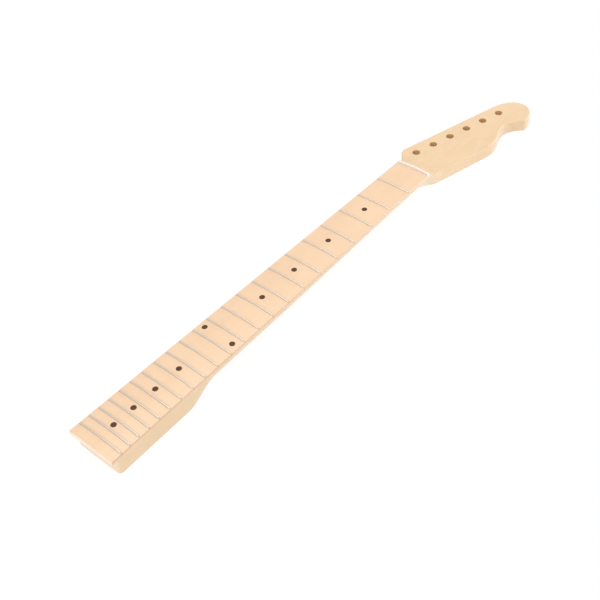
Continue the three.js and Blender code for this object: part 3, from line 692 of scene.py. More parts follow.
def plate_columns(outline):
    """The headstock's rim: at each outline point, front edge, wall and back corner, drawn inwards."""
    along = np.gradient(outline, axis=0)
    along /= np.linalg.norm(along, axis=1)[:, None]
    inward = spots(along[:, 1], -along[:, 0])
    straight = spots(0, -np.sign(outline[:, 1]))
    turned = smooth(outline[:, 0], JOIN_X, PLATE_X + MM)[:, None]
    inward = lerp(straight, inward, turned)
    depth = len(EDGE_TURNS) + len(WALL_STEPS) + len(CORNER_STEPS)
    profile = half_section(np.array([PLATE_X]), np.array([HEEL_HALF]))[0, :depth]
    inset = (HEEL_HALF - profile[:, 1])[None, :, None]
    plan = outline[:, None] + inset * inward[:, None]
    z = np.broadcast_to(profile[:, 2], plan.shape[:2])[..., None]
    return np.concatenate([plan, z], -1)


def add_tuner_holes(skin, centres, turns):
    """Through holes with a small rounded lip at both faces, each a profile turned about its centre."""
    widening, sinking = rounding(HOLE_LIP_POINTS)
    radius = TUNER_RADIUS + HOLE_LIP * np.concatenate([widening, widening[::-1]])[:, None]
    drop = HOLE_LIP * sinking
    z = np.concatenate([HEAD_THICKNESS - drop, drop[::-1]])[:, None]
    for centre in centres:
        skin.add_grid(spots(*circle(centre, radius, turns), z))


def make_neck():
    """Heel, round back and headstock as one closed skin, with the bore, channel and tuner holes."""
    skin = Skin()
    rings = neck_rings(neck_stations())
    skin.add_grid(rings)
    add_heel_end(skin, rings[0])
    columns = plate_columns(head_outline())
    skin.add_grid(columns, closed=False)
    turns = whole(HOLE_POINTS)
    centres = tuner_centres()
    holes = [spots(*circle(centre, TUNER_RADIUS + HOLE_LIP, turns)) for centre in centres]
    mouth_line = [[JOIN_X, -CHANNEL_HALF], [JOIN_X, CHANNEL_HALF]]
    skin.add_flat([np.concatenate([columns[:, 0, :2], mouth_line]), *holes], HEAD_THICKNESS)
    used = columns.shape[1]
    across = rings[-1, used:-len(CHANNEL_SIDES) - used, :2][::-1]
    skin.add_flat([np.concatenate([columns[:, -1, :2], across]), *holes], 0)
    add_tuner_holes(skin, centres, turns)
    return skin.to_piece("maple_neck")


# Fretboard

def fret_place(node):
    """Place of a fret along the neck, from its CAD node."""
    low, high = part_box(node)
    return (low.x + high.x) / 2


def board_rings():
    """Sections of the board and the depth of each slot: stations double where a wall is upright."""
    half = TANG_WIDTH / 2 + SEAT_GAP
    slot_walls = [fret_place(node) + side * half for node in FRETS for side in (-1, 1)]
    nut_walls = [NUT_X - SEAT_GAP, NUT_BACK_X + SEAT_GAP]
    walls = np.concatenate([slot_walls, nut_walls])
    ends = BOARD_END_X + BOARD_END_ROUND * rounding(BOARD_ROUND_POINTS)[0]
    plain = np.arange(BOARD_END_X + BOARD_END_ROUND, NUT_X, BOARD_STEP)
    ramp = np.linspace(NUT_BACK_X + SEAT_GAP, SEAM_X, BOARD_RAMP_POINTS)[1:]
    x = np.sort(np.concatenate([ends, plain[1:], ramp, walls, walls]))
    wall_rank = np.searchsorted(np.sort(walls), x, side="left")
    is_wall = np.isin(x, walls)
    is_second = np.concatenate([[False], np.diff(x) == 0])
    is_sunk = np.where(is_wall, (wall_rank % 2 == 0) == is_second, wall_rank % 2 == 1)
    slot_floor = crown_z(taper_half(x)) - TANG_DEPTH - SEAT_GAP
    sunk_floor = np.where(x < nut_walls[0], slot_floor, BOARD_TOP_Z - NUT_SEAT_DEPTH)
    return x, np.where(is_sunk, sunk_floor, BOARD_TOP_Z)


def make_board():
    """Crowned slab with slots: top height is the least of crown, ramp, slot floor and end round."""
    x, floor = (values[:, None] for values in board_rings())
    across = np.linspace(-1, 1, BOARD_ACROSS_POINTS)
    turns = quarter(BOARD_ROUND_POINTS)[1:]
    bass, treble = bass_edge(x), treble_edge(x)
    middle, half = (bass - treble) / 2, (bass + treble) / 2
    end_inset = fall(BOARD_END_X + BOARD_END_ROUND - x, BOARD_END_ROUND)
    flat = half - BOARD_EDGE_ROLL - end_inset
    side_y = flat + BOARD_EDGE_ROLL * np.sin(turns)
    y = np.concatenate([middle - side_y[:, ::-1], middle + flat * across, middle + side_y], 1)
    roll_drop = BOARD_EDGE_ROLL * (1 - np.cos(turns))
    edge_drop = np.concatenate([roll_drop[::-1], 0 * across, roll_drop])
    crown = crown_z(np.clip(y, middle - flat, middle + flat)) - edge_drop - end_inset
    top = np.minimum(soft_min(crown, ramp_z(x), RAMP_TOP_BLEND), floor)
    top = np.maximum(top, GLUE_Z)
    edge_z = crown_z(half) - BOARD_EDGE_ROLL
    lean = glue_inset(x) * np.clip((edge_z - top) / (edge_z - GLUE_Z), 0, 1)
    leant_y = middle + (y - middle) * (1 - lean / half)
    glued_y = middle + (y - middle) * (1 - glue_inset(x) / half)
    rings = np.concatenate([spots(x, leant_y, top), spots(x, glued_y, GLUE_Z)[:, ::-1]], 1)
    skin = Skin()
    skin.add_grid(rings)
    skin.add_cap(rings[0])
    return skin.to_piece("maple_fretboard")


# Frets

def make_fret(node):
    """Fret wire: a domed crown on a tang, carried along the board's crown, with bevelled ends."""
    x = fret_place(node)
    half = taper_half(x) - FRET_END_INSET
    turns = np.linspace(0, np.pi, FRET_DOME_POINTS)
    tang = TANG_WIDTH / 2
    along = np.concatenate([FRET_WIDTH / 2 * np.cos(turns), [-tang, -tang, tang, tang]])
    rise = np.concatenate([FRET_HEIGHT * np.sin(turns), [0, -TANG_DEPTH, -TANG_DEPTH, 0]])
    share = np.concatenate([[-1], np.linspace(-1, 1, FRET_ACROSS_POINTS), [1]])[:, None]
    from_end = np.zeros_like(share)
    from_end[[1, -2]] = FRET_TIP
    shrink = np.ones_like(share)
    shrink[[0, -1]] = FRET_TIP_HEIGHT
    bevel = (np.abs(share) == 1) * FRET_BEVEL * np.maximum(rise, 0)
    y = np.sign(share) * (half * np.abs(share) - from_end - bevel)
    z = crown_z(half * share) + np.where(rise > 0, rise * shrink, rise)
    narrow = np.where(rise > 0, along * lerp(1, shrink, FRET_TIP_NARROWING), along)
    grid = spots(x + narrow, y, z)
    skin = Skin()
    skin.add_grid(grid)
    for first in (0, (len(grid) - 1) * len(rise)):
        around = list(range(first, first + len(rise)))
        dome, stem = around[:len(turns)], around[len(turns):]
        skin.faces += [[*dome, stem[0], stem[-1]], stem]
    return skin.to_piece("wire_" + node, FINE_CREASE)


# Nut

def make_nut():
    """Nut: crowned top with rounded ends and string slots, a height over its length and width.

    The slots are grooves with round floors that fan down towards the headstock.
    """
    places = STRING_SPREAD * np.linspace(0.5, -0.5, len(STRING_WIDTHS))[:, None]
    half = STRING_WIDTHS[:, None] / 2
    inside = (places + half * np.linspace(-1, 1, GROOVE_POINTS)).ravel()
    rims = (places + (half + GROOVE_RIM) * [-1, 1]).ravel()
    ends = NUT_HALF - NUT_END_ROUND * rounding(NUT_END_POINTS)[0]
    middle = np.linspace(-1, 1, NUT_ACROSS_POINTS) * ends[0]
    y = np.unique(np.concatenate([inside, rims, ends, -ends, middle]))
    span = NUT_BACK_X - NUT_X
    drop, inset = rounding(NUT_ROUND_POINTS)
    x = np.concatenate([NUT_FRONT_ROUND * inset, span - NUT_BACK_ROUND * inset[::-1]])[:, None]
    edge = np.concatenate([NUT_FRONT_ROUND * drop, NUT_BACK_ROUND * drop[::-1]])
    crown = crown_z(np.minimum(np.abs(y), ends[0]))
    top = crown + NUT_PROUD - fall(np.abs(y) - ends[0], NUT_END_ROUND)
    offset = np.abs((y - places) / half)
    reach = np.clip(1 - offset ** GROOVE_POWER, 0, 1) ** (1 / GROOVE_POWER)
    depth = (STRING_DEPTH * np.where(offset < 1, lerp(GROOVE_WALL_SHARE, 1, reach), 0)).max(0)
    z = top - NUT_BACK_FALL * x / span - edge[:, None] - depth
    seat = BOARD_TOP_Z - NUT_SEAT_DEPTH + SEAT_GAP
    side_y = np.concatenate([y, y[::-1] * (1 - NUT_END_INSET / NUT_HALF)])
    grid = spots(NUT_X + x, side_y, np.concatenate([np.maximum(z, seat), np.full_like(z, seat)], 1))
    skin = Skin()
    skin.add_grid(grid)
    here = np.arange(len(y) - 1)
    below = len(side_y) - 1 - here
    for first in (0, (len(grid) - 1) * len(side_y)):
        skin.faces += (first + spots(here, here + 1, below - 1, below)).tolist()
    return skin.to_piece("bone_nut", FINE_CREASE)


# Dots

def disc_profile(radius):
    """Radii and depths of a dot: a flat top, a tiny rounded rim and a side wall."""
    inset, sinking = rounding(DOT_RIM_POINTS)
    radii = np.concatenate([[radius * DOT_TOP_SHARE], radius - DOT_EDGE * inset, [radius]])
    depths = np.concatenate([[0], DOT_EDGE * sinking, [DOT_SIDE]])
    return radii[:, None], depths[:, None]


def make_face_dot(node):
    """A round inlay whose top follows the board's crown."""
    low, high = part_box(node)
    radii, depths = disc_profile((high.x - low.x) / 2)
    centre = ((low.x + high.x) / 2, (low.y + high.y) / 2)
    x, y = circle(centre, radii, whole(FACE_DOT_POINTS))
    return capped_rings(spots(x, y, crown_z(y) + DOT_PROUD - depths), "inlay_" + node)


def make_side_dot(node):
    """A small round inlay whose face lies in the tapering, leaning side of the board."""
    low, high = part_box(node)
    radii, depths = disc_profile((high.x - low.x) / 2)
    centre = ((low.x + high.x) / 2, (low.z + high.z) / 2)
    x, z = circle(centre, radii, whole(SIDE_DOT_POINTS))
    top = crown_z(taper_half(x)) - BOARD_EDGE_ROLL
    y = taper_half(x) - glue_inset(x) * (top - z) / (top - GLUE_Z) + DOT_PROUD - depths
    return capped_rings(spots(x, y, z), "inlay_" + node)


# Truss-rod adjuster

def make_adjuster():
    """Adjusting nut: a chamfered barrel with a hexagonal socket, as rings turned about the rod.

    The socket's radius is its half width over the cosine of the angle from the nearest flat.
    """
    radius = (ADJUSTER_HIGH.z - ADJUSTER_LOW.z) / 2
    turns = whole(ADJUSTER_POINTS)
    side = TURN / HEX_SIDES
    flat_angle = (turns + side / 2) % side - side / 2
    socket = HEX_ACROSS_FLATS / 2 / np.cos(flat_angle)
    near, far = ADJUSTER_LOW.x, ADJUSTER_HIGH.x
    rows = (
        (far, radius * ADJUSTER_SEAT_SHARE),
        (far, radius - ADJUSTER_CHAMFER),
        (far - ADJUSTER_CHAMFER, radius),
        (near + ADJUSTER_CHAMFER, radius),
        (near, radius - ADJUSTER_CHAMFER),
        (near, socket * SOCKET_MOUTH_SHARE),
        (near + SOCKET_LIP, socket),
        (near + HEX_DEPTH, socket),
    )
    rings = [spots(x, *circle((0, ROD_Z), reach, turns)) for x, reach in rows]
    return capped_rings(np.stack(rings), "socket_adjuster")


# Node groups

class Graph:
    """A short way to add linked nodes to a material or a node group."""

    def __init__(self, tree):
        self.tree = tree

    def add(self, kind, *values, **settings):
        """A node of a kind, its inputs filled in order with values or links, and its settings."""
        node = self.tree.nodes.new(kind)
        for key, value in settings.items():
            setattr(node, key, value)
        for socket, value in zip([s for s in node.inputs if s.enabled], values):
            self.fill(socket, value)
        return node

    def fill(self, socket, value):
        """Links a socket to an output, or sets its plain value."""
        if isinstance(value, bpy.types.NodeSocket):
            self.tree.links.new(value, socket)
        else:
            socket.default_value = value

    def labelled(self, kind, values, **settings):
        """A node of a kind, its inputs filled by their labels, and its settings."""
        node = self.add(kind, **settings)
        for label, value in values.items():
            self.fill(node.inputs[label], value)
        return node

    def result(self, kind, *values, **settings):
        """The first output that a new node has in use."""
        node = self.add(kind, *values, **settings)
        return next(socket for socket in node.outputs if socket.enabled)

    def math(self, operation, *values):
        """The result of a Math node."""
        return self.result("ShaderNodeMath", *values, operation=operation)

    def vector(self, operation, *values):
        """The result of a Vector Math node."""
        return self.result("ShaderNodeVectorMath", *values, operation=operation)

    def spread(self, value, low, high):
        """A value's place between low and high, from 0 to 1."""
        return self.result("ShaderNodeMapRange", value, low, high, 0, 1)

    def place(self):
        """Places on the piece, in metres."""
        return self.add("ShaderNodeTexCoord").outputs["Object"]

    def part(self, vector, axis):
        """One part of a vector."""
        return self.add("ShaderNodeSeparateXYZ", vector).outputs[axis]

    def normal(self, axis):
        """One part of the direction that the surface faces."""
        return self.part(self.add("ShaderNodeNewGeometry").outputs["Normal"], axis)

    def noise(self, place, scale, detail, roughness=NOISE_ROUGHNESS, distortion=0):
        """The value of a Noise Texture at a place, with its own scale on each axis."""
        return self.labelled("ShaderNodeTexNoise", {
            "Vector": self.vector("MULTIPLY", place, scale), "Scale": 1, "Detail": detail,
            "Roughness": roughness, "Distortion": distortion,
        }).outputs["Fac"]

    def tint(self, color, tone):
        """A colour times a tone."""
        return self.mix(1, color, tone, "MULTIPLY")

    def mix(self, factor, first, second, blend="MIX"):
        """A mix of two colours."""
        return self.result("ShaderNodeMix", factor, first, second, data_type="RGBA", blend_type=blend)


def new_group(name, inputs):
    """A node group with inputs of given kinds that puts out a colour, a roughness and a height."""
    group = bpy.data.node_groups.new(name, "ShaderNodeTree")
    for label, kind in inputs.items():
        group.interface.new_socket(label, in_out="INPUT", socket_type=kind)
    for label, kind in SURFACE.items():
        group.interface.new_socket(label, in_out="OUTPUT", socket_type=kind)
    g = Graph(group)
    return group, g, g.add("NodeGroupInput").outputs


def places_in_mm(g):
    """Places on the piece, in millimetres."""
    return g.vector("MULTIPLY", g.place(), (1 / MM, 1 / MM, 1 / MM))


def painted_side_light_and_shade(g, given):
    """Painted light and shade on the sides: painted shade that deepens towards the heel from painted light
    at the nut, less shade in a low band, and an even painted tone in the headstock.

    The place between nut and heel is raised to a power, which sets where most of the change is.
    """
    x, z = g.part(g.place(), "X"), g.part(g.place(), "Z")
    to_heel = g.math("POWER", g.spread(x, NUT_X, HEEL_END_X), given["Tone power"])
    tone = g.mix(to_heel, given["Nut side light"], given["Heel side shade"])
    # Above the band height, just under the board's top edge, the painted shade is deepest
    band = g.mix(to_heel, given["Nut side light"], given["Low band shade"])
    low = g.math("SUBTRACT", given["Band height"], BAND_BLUR)
    high = g.math("ADD", given["Band height"], BAND_BLUR)
    tone = g.mix(g.spread(z, low, high), band, tone)
    tone = g.mix(g.spread(x, NUT_X, JOIN_X), tone, HEAD_SIDE_PAINTED_LIGHT)
    # Only faces that turn sideways take this painted light and shade
    across = g.math("ABSOLUTE", g.normal("Y"))
    return g.mix(g.spread(across, *SIDE_LEAN), WHITE, tone)


def end_grain_and_painted_light(g, given, color):
    """The colour with painted light on faces towards the heel, such as the ends of the heel and the board;
    in the headstock those faces take the end grain's own tone instead.
    """
    in_head = g.math("GREATER_THAN", g.part(g.place(), "X"), NUT_BACK_X)
    tone = g.mix(in_head, given["Painted end light"], given["Head end tone"])
    towards_heel = g.math("MULTIPLY", g.normal("X"), -1)
    return g.mix(g.spread(towards_heel, *END_LEAN), color, g.tint(color, tone))


def bare_share(g):
    """One on the bare walls of the tuner holes and of the adjuster's bore, zero elsewhere.

    A hole's wall is found by its distance from the nearest of the centres along their line, and the
    bore's wall by its distance from the rod and its place near the heel's end.
    """
    place = g.place()
    from_first = g.vector("SUBTRACT", place, (*tuner_centres()[0], 0))
    along = g.vector("DOT_PRODUCT", from_first, (*EDGE_DIRECTION, 0))
    across = g.vector("DOT_PRODUCT", from_first, (EDGE_DIRECTION[1], -EDGE_DIRECTION[0], 0))
    steps = g.math("ROUND", g.math("DIVIDE", along, TUNER_PITCH))
    nearest = g.math("MINIMUM", g.math("MAXIMUM", steps, 0), TUNER_COUNT - 1)
    along = g.math("SUBTRACT", along, g.math("MULTIPLY", nearest, TUNER_PITCH))
    radius = g.math("SQRT", g.math("ADD", g.math("POWER", along, 2), g.math("POWER", across, 2)))
    hole = g.spread(radius, TUNER_RADIUS + HOLE_LIP, TUNER_RADIUS + BARE_EDGE)
    from_rod = g.vector("MULTIPLY", g.vector("SUBTRACT", place, (0, 0, ROD_Z)), (0, 1, 1))
    bore = g.spread(g.vector("LENGTH", from_rod), BORE_RADIUS + HOLE_LIP, BORE_RADIUS + BARE_EDGE)
    bore = g.math("MULTIPLY", bore, g.math("LESS_THAN", g.part(place, "X"), BARE_END_X))
    return g.math("MAXIMUM", hole, bore)


def maple_group():
    """Maple under clear lacquer, with bare walls in its holes.

    Growth rings round a far pith, fine fibre, dashes, slow patches and a faint curl, with painted light and
    shade on the sides, painted light on faces towards the heel and a darker end grain in the headstock.
    """
    group, g, given = new_group("maple_figure_and_painted_light", {
        "Pale": COLOR, "Deep": COLOR, "Pith": VECTOR, "Ring width": NUMBER,
        "Ring strength": NUMBER, "Dash strength": NUMBER, "Patch strength": NUMBER,
        "Heel side shade": COLOR, "Nut side light": COLOR, "Tone power": NUMBER,
        "Low band shade": COLOR, "Band height": NUMBER, "Painted end light": COLOR, "Head end tone": COLOR,
        "Bare walls": NUMBER,
    })
    mm = places_in_mm(g)
    wander = g.noise(mm, *WANDER_NOISE)
    from_pith = g.vector("MULTIPLY", g.vector("SUBTRACT", mm, given["Pith"]), RING_STRETCH)
    reach = g.math("MULTIPLY_ADD", wander, WANDER_REACH, g.vector("LENGTH", from_pith))
    rings = g.math("DIVIDE", reach, given["Ring width"])
    late = g.math("POWER", g.math("FRACT", rings), LATE_WOOD_POWER)
    fibre = g.noise(mm, *FIBRE_NOISE)
    dash = g.spread(g.noise(mm, *DASH_NOISE), *DASH_SPREAD)
    tone = g.math("MULTIPLY", late, given["Ring strength"])
    for part, middle, strength in (
            (fibre, NOISE_MIDDLE, FIBRE_STRENGTH), (dash, 0, given["Dash strength"]),
            (g.noise(mm, *PATCH_NOISE), NOISE_MIDDLE, given["Patch strength"]),
            (g.noise(mm, *CURL_NOISE), NOISE_MIDDLE, CURL_STRENGTH)):
        tone = g.math("ADD", tone, g.math("MULTIPLY", g.math("SUBTRACT", part, middle), strength))
    tone = g.result("ShaderNodeClamp", g.math("ADD", tone, PLAIN_TONE))
    # The sides take painted light and shade
    color = g.tint(g.mix(tone, given["Pale"], given["Deep"]), painted_side_light_and_shade(g, given))
    bare = g.math("MULTIPLY", bare_share(g), given["Bare walls"])
    # Faces towards the heel take painted light, the headstock's end grain its own darker tone, and hole
    # walls their bare tone
    color = g.mix(bare, end_grain_and_painted_light(g, given, color), g.tint(color, BARE_TONE))
    rough = g.math("MULTIPLY_ADD", fibre, ROUGHNESS_SPREAD, WOOD_ROUGHNESS)
    height = g.math("SUBTRACT", g.math("MULTIPLY", fibre, FIBRE_RELIEF), dash)
    g.add("NodeGroupOutput", color, rough, height)
    return group


def metal_group():
    """Rubbed metal: fine marks along one axis and a slow change of colour."""
    group, g, given = new_group("rubbed_metal", {
        "Color": COLOR, "Mark scale": VECTOR, "Roughness": NUMBER,
    })
    mm = places_in_mm(g)
    marks = g.noise(mm, given["Mark scale"], MARK_DETAIL, MARK_SHARPNESS)
    worn = g.math("MULTIPLY", g.noise(mm, *WORN_NOISE), WORN_STRENGTH)
    color = g.mix(worn, given["Color"], WORN_COLOR)
    rough = g.math("MULTIPLY_ADD", marks, MARK_SPREAD, given["Roughness"])
    g.add("NodeGroupOutput", color, rough, marks)
    return group


def smooth_group():
    """Dense bone, plastic or shell: a slow drift between two colours and a fine grain."""
    group, g, given = new_group("smooth_grain", {
        "Color": COLOR, "Tint": COLOR, "Roughness": NUMBER,
    })
    mm = places_in_mm(g)
    drift = g.spread(g.noise(mm, *DRIFT_NOISE), *DRIFT_SPREAD)
    grain = g.noise(mm, *GRAIN_NOISE)
    rough = g.math("MULTIPLY_ADD", grain, ROUGHNESS_SPREAD, given["Roughness"])
    g.add("NodeGroupOutput", g.mix(drift, given["Color"], given["Tint"]), rough, grain)
    return group


# Materials

def cleared_graph(owner):
    """The emptied nodes of a material or a world."""
    owner.use_nodes = True
    owner.node_tree.nodes.clear()
    return Graph(owner.node_tree)


def make_material(name, figure, values, relief, constants):
    """A material whose surface comes from a node group with its own values, raised by a relief."""
    material = bpy.data.materials.new(name)
    g = cleared_graph(material)
    look = g.labelled("ShaderNodeGroup", values, node_tree=figure).outputs
    raised = g.labelled("ShaderNodeBump", {"Strength": 1, "Distance": relief, "Height": look["Height"]})
    shader = g.labelled("ShaderNodeBsdfPrincipled", {
        "Base Color": look["Color"], "Roughness": look["Roughness"], "Normal": raised.outputs[0],
        **constants,
    })
    g.add("ShaderNodeOutputMaterial", shader.outputs[0])
    return material


def metal_material(name, color, roughness, mark_scale):
    """Polished metal with fine rubbing marks."""
    figure = bpy.data.node_groups.get("rubbed_metal") or metal_group()
    values = {"Color": color, "Mark scale": mark_scale, "Roughness": roughness}
    return make_material(name, figure, values, MARK_RELIEF, {"Metallic": 1})


def smooth_material(name, color, tint, coat, specular):
    """Dense bone, plastic or shell under a polish."""
    figure = bpy.data.node_groups.get("smooth_grain") or smooth_group()
    values = {"Color": color, "Tint": tint, "Roughness": SMOOTH_ROUGHNESS}
    constants = {"Specular IOR Level": specular, "Coat Weight": coat, "Coat Roughness": POLISH_ROUGHNESS}
    return make_material(name, figure, values, GRAIN_RELIEF, constants)


# Properties

def color_property(name, description, *color):
    """A property that holds a colour."""
    return FloatVectorProperty(
        name=name, description=description, default=(*color, 1), size=4, subtype="COLOR", min=0, max=1)


class NeckWood(bpy.types.PropertyGroup):
    """Colours of the maple."""

    neck_color: color_property(
        "Neck maple", "Plain wood between the growth rings of the neck", 0.86, 0.63, 0.39)
    neck_grain: color_property("Neck grain", "Growth rings and flecks of the neck", 0.66, 0.41, 0.2)
    board_color: color_property(
        "Board maple", "Plain wood between the growth rings of the fretboard", 0.9, 0.64, 0.42)
    board_grain: color_property("Board grain", "Growth rings and flecks of the fretboard", 0.74, 0.44, 0.25)
    ring_width: FloatProperty(
        name="Ring width", description="Distance between growth rings, in millimetres",
        default=4.2, min=1, max=12)
    lacquer: FloatProperty(
        name="Lacquer", description="Strength of the clear coat over the wood",
        default=0.3, min=0, max=1)


class Metalwork(bpy.types.PropertyGroup):
    """Colours of the metal, nut and dots."""

    fret_color: color_property("Fret wire", "Colour of the nickel-silver frets", 0.635, 0.555, 0.47)
    steel_color: color_property("Rod steel", "Colour of the truss rod and its adjuster", 0.5, 0.5, 0.5)
    brass_color: color_property("Anchor brass", "Colour of the truss rod's anchor blocks", 0.72, 0.55, 0.25)
    nut_color: color_property("Nut", "Colour of the bone-like nut", 0.92, 0.845, 0.8)
    dot_color: color_property("Dots", "Colour of the position dots", 0.075, 0.036, 0.014)


class Studio(bpy.types.PropertyGroup):
    """Camera, lamps and floor."""

    camera_place: FloatVectorProperty(
        name="Camera place", description="Where the camera stands",
        default=(-0.29188, -0.52312, 0.72544), subtype="TRANSLATION", unit="LENGTH")
    camera_turn: FloatVectorProperty(
        name="Camera turn", description="The camera's rotation about X, Y and Z",
        default=tuple(np.radians((44.722, 4.1783, -49.5131))), subtype="EULER")
    lens: FloatProperty(
        name="Lens", description="Focal length in millimetres", default=60.36, min=10)
    key_power: FloatProperty(
        name="Key lamp", description="Power of the overhead soft box", default=20, min=0, unit="POWER")
    fill_power: FloatProperty(
        name="Fill lamp", description="Power of the soft box beyond the headstock",
        default=11.5, min=0, unit="POWER")
    end_power: FloatProperty(
        name="End lamp", description="Power of the soft box off the heel's end",
        default=9.3, min=0, unit="POWER")
    ambient: FloatProperty(
        name="Ambient", description="Strength of the white light from all sides", default=0.5, min=0)
    floor_size: FloatProperty(
        name="Floor", description="Width of the floor", default=12, min=1, unit="LENGTH")
    floor_facets: IntProperty(
        name="Floor facets", description="Grid lines of the floor each way", default=2, min=2)


# Operators

class NECK_OT_wood(bpy.types.Operator):
    """Build the neck and the fretboard in maple"""

    bl_idname = "neck.wood"
    bl_label = "Neck and fretboard"

    def execute(self, context):
        wood = context.scene.neck_wood
        figure = maple_group()
        coat = {"Coat Weight": wood.lacquer, "Coat Roughness": LACQUER_ROUGHNESS}
        # Both maples carry painted light and shade on their sides and on the ends that face the heel
        neck = make_material("neck_maple", figure, {
            "Pale": wood.neck_color, "Deep": wood.neck_grain, "Ring width": wood.ring_width,
            **NECK_FIGURE_AND_PAINTED_LIGHT}, WOOD_RELIEF, coat)
        board = make_material("board_maple", figure, {
            "Pale": wood.board_color, "Deep": wood.board_grain,
            "Ring width": wood.ring_width * BOARD_RING_SHARE, **BOARD_FIGURE_AND_PAINTED_LIGHT}, WOOD_RELIEF, coat)
        settle(make_neck(), "neck", "neck", neck)
        settle(make_board(), "fretboard", "neck", board)
        return {"FINISHED"}


class NECK_OT_frets(bpy.types.Operator):
    """Lay the fret wires in their slots"""

    bl_idname = "neck.frets"
    bl_label = "Frets"

    def execute(self, context):
        color = context.scene.metalwork.fret_color
        nickel = metal_material("fret_nickel", color, FRET_ROUGHNESS, FRET_MARKS)
        for node in FRETS:
            settle(make_fret(node), node, "neck", nickel)
        return {"FINISHED"}


class NECK_OT_nut(bpy.types.Operator):
    """Set the nut behind the first fret"""

    bl_idname = "neck.nut"
    bl_label = "Nut"

    def execute(self, context):
        color = context.scene.metalwork.nut_color
        bone = smooth_material("nut_bone", color, NUT_TINT, NUT_COAT, NUT_SPECULAR)
        settle(make_nut(), "nut", "neck", bone)
        return {"FINISHED"}


class NECK_OT_dots(bpy.types.Operator):
    """Inlay the face dots and the side dots"""

    bl_idname = "neck.dots"
    bl_label = "Position dots"

    def execute(self, context):
        color = context.scene.metalwork.dot_color
        black = smooth_material("dot_black", color, DOT_TINT, 0, DOT_SPECULAR)
        for node in FACE_DOTS:
            settle(make_face_dot(node), node, "neck", black)
        for node in SIDE_DOTS:
            settle(make_side_dot(node), node, "neck", black)
        return {"FINISHED"}


class NECK_OT_truss_rod(bpy.types.Operator):
    """Finish the truss rod and its socket adjuster"""

    bl_idname = "neck.truss_rod"
    bl_label = "Truss rod"

    def execute(self, context):
        work = context.scene.metalwork
        steel = metal_material("rod_steel", work.steel_color, STEEL_ROUGHNESS, ROD_MARKS)
        brass = metal_material("anchor_brass", work.brass_color, BRASS_ROUGHNESS, ROD_MARKS)
        settle(make_adjuster(), "truss_rod_adjuster", "truss_rod", steel)
        finishes = {
            "truss_rod": steel, "truss_rod_bar": steel,
            "truss_rod_anchor_heel": brass, "truss_rod_anchor_head": brass,
        }
        for node, material in finishes.items():
            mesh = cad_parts[node].data
            mesh.materials.clear()
            mesh.materials.append(material)
        return {"FINISHED"}


def add_lamp(name, place, target, size, power):
    """A soft box of a length and a width that faces a point."""
    lamp = bpy.data.lights.new(name, "AREA")
    lamp.shape = "RECTANGLE"
    lamp.size, lamp.size_y = size
    lamp.energy = power
    box = new_object(name, lamp)
    box.location = place
    gaze = np.asarray(target, float) - place
    spin = np.arctan2(gaze[1], gaze[0]) - QUARTER
    tilt = np.arctan2(np.hypot(gaze[0], gaze[1]), -gaze[2])
    box.rotation_euler = Euler((tilt, 0, spin))


def white_where_seen(g, plain, white):
    """Mixes a plain shader with white for camera, mirror and glass rays."""
    path = g.add("ShaderNodeLightPath").outputs
    seen = g.math("ADD", path["Is Camera Ray"], path["Is Glossy Ray"])
    seen = g.math("MINIMUM", g.math("ADD", seen, path["Is Transmission Ray"]), 1)
    return g.result("ShaderNodeMixShader", seen, plain, white)


def glowing_matt(g, shade, glow):
    """A matt grey that also glows."""
    matt = g.result("ShaderNodeBsdfDiffuse", (shade, shade, shade, 1))
    return g.result("ShaderNodeAddShader", matt, g.result("ShaderNodeEmission", WHITE, glow))


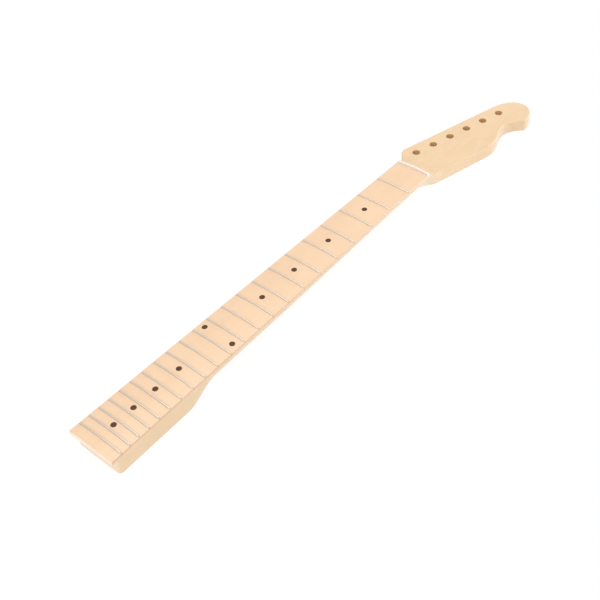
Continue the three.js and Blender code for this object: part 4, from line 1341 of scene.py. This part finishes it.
class NECK_OT_stage(bpy.types.Operator):
    """Set up the floor, the soft light and the camera"""

    bl_idname = "neck.stage"
    bl_label = "Stage"

    def execute(self, context):
        studio = context.scene.studio
        self.add_floor(studio)
        self.add_light(context, studio)
        camera = bpy.data.cameras.new("camera")
        camera.lens = studio.lens
        camera.sensor_width = SENSOR_WIDTH
        camera.clip_end = FAR_CLIP
        view = new_object("camera", camera)
        view.location = studio.camera_place
        view.rotation_euler = studio.camera_turn
        context.scene.camera = view
        context.scene.view_settings.view_transform = "Standard"
        return {"FINISHED"}

    def add_floor(self, studio):
        """A pale floor that stays white where it is seen and keeps a faint shadow."""
        steps = np.linspace(-studio.floor_size / 2, studio.floor_size / 2, studio.floor_facets)
        grid = spots(*np.meshgrid(steps, steps), 0)
        mesh = bpy.data.meshes.new("floor")
        mesh.from_pydata(grid.reshape(-1, 3).tolist(), [], grid_faces(len(steps), len(steps)))
        floor = new_object("floor", mesh)
        material = bpy.data.materials.new("pale_floor")
        g = cleared_graph(material)
        bright, plain = glowing_matt(g, *SEEN_FLOOR), glowing_matt(g, *LIGHTING_FLOOR)
        g.add("ShaderNodeOutputMaterial", white_where_seen(g, plain, bright))
        floor.data.materials.append(material)

    def add_light(self, context, studio):
        """White light from all sides and three soft boxes."""
        world = bpy.data.worlds.new("studio")
        context.scene.world = world
        g = cleared_graph(world)
        plain = g.result("ShaderNodeBackground", WHITE, studio.ambient)
        white = g.result("ShaderNodeBackground", WHITE, 1)
        g.add("ShaderNodeOutputWorld", white_where_seen(g, plain, white))
        add_lamp("key_lamp", *KEY_LAMP, studio.key_power)
        add_lamp("fill_lamp", *FILL_LAMP, studio.fill_power)
        add_lamp("end_lamp", *END_LAMP, studio.end_power)


OPERATORS = (NECK_OT_stage, NECK_OT_wood, NECK_OT_frets, NECK_OT_nut, NECK_OT_dots, NECK_OT_truss_rod)


class NECK_PT_panel(bpy.types.Panel):
    """Lists the sizes, colours and steps."""

    bl_idname = "NECK_PT_panel"
    bl_label = "Guitar neck"
    bl_space_type = "VIEW_3D"
    bl_region_type = "UI"
    bl_category = "Guitar neck"

    def draw(self, context):
        for operator in OPERATORS:
            self.layout.operator(operator.bl_idname)
        for group in (context.scene.neck_wood, context.scene.metalwork, context.scene.studio):
            for name in group.__annotations__:
                self.layout.prop(group, name)


CLASSES = (NeckWood, Metalwork, Studio, *OPERATORS, NECK_PT_panel)


def register():
    """Registers the classes and hangs the property groups on the scene."""
    for item in CLASSES:
        bpy.utils.register_class(item)
    bpy.types.Scene.neck_wood = PointerProperty(type=NeckWood)
    bpy.types.Scene.metalwork = PointerProperty(type=Metalwork)
    bpy.types.Scene.studio = PointerProperty(type=Studio)


def unregister():
    """Takes the property groups off the scene and unregisters the classes."""
    del bpy.types.Scene.neck_wood, bpy.types.Scene.metalwork, bpy.types.Scene.studio
    for item in reversed(CLASSES):
        bpy.utils.unregister_class(item)


def main():
    """Runs every step in order."""
    register()
    bpy.ops.neck.stage()
    bpy.ops.neck.wood()
    bpy.ops.neck.frets()
    bpy.ops.neck.nut()
    bpy.ops.neck.dots()
    bpy.ops.neck.truss_rod()


if __name__ == "__main__":
    main()
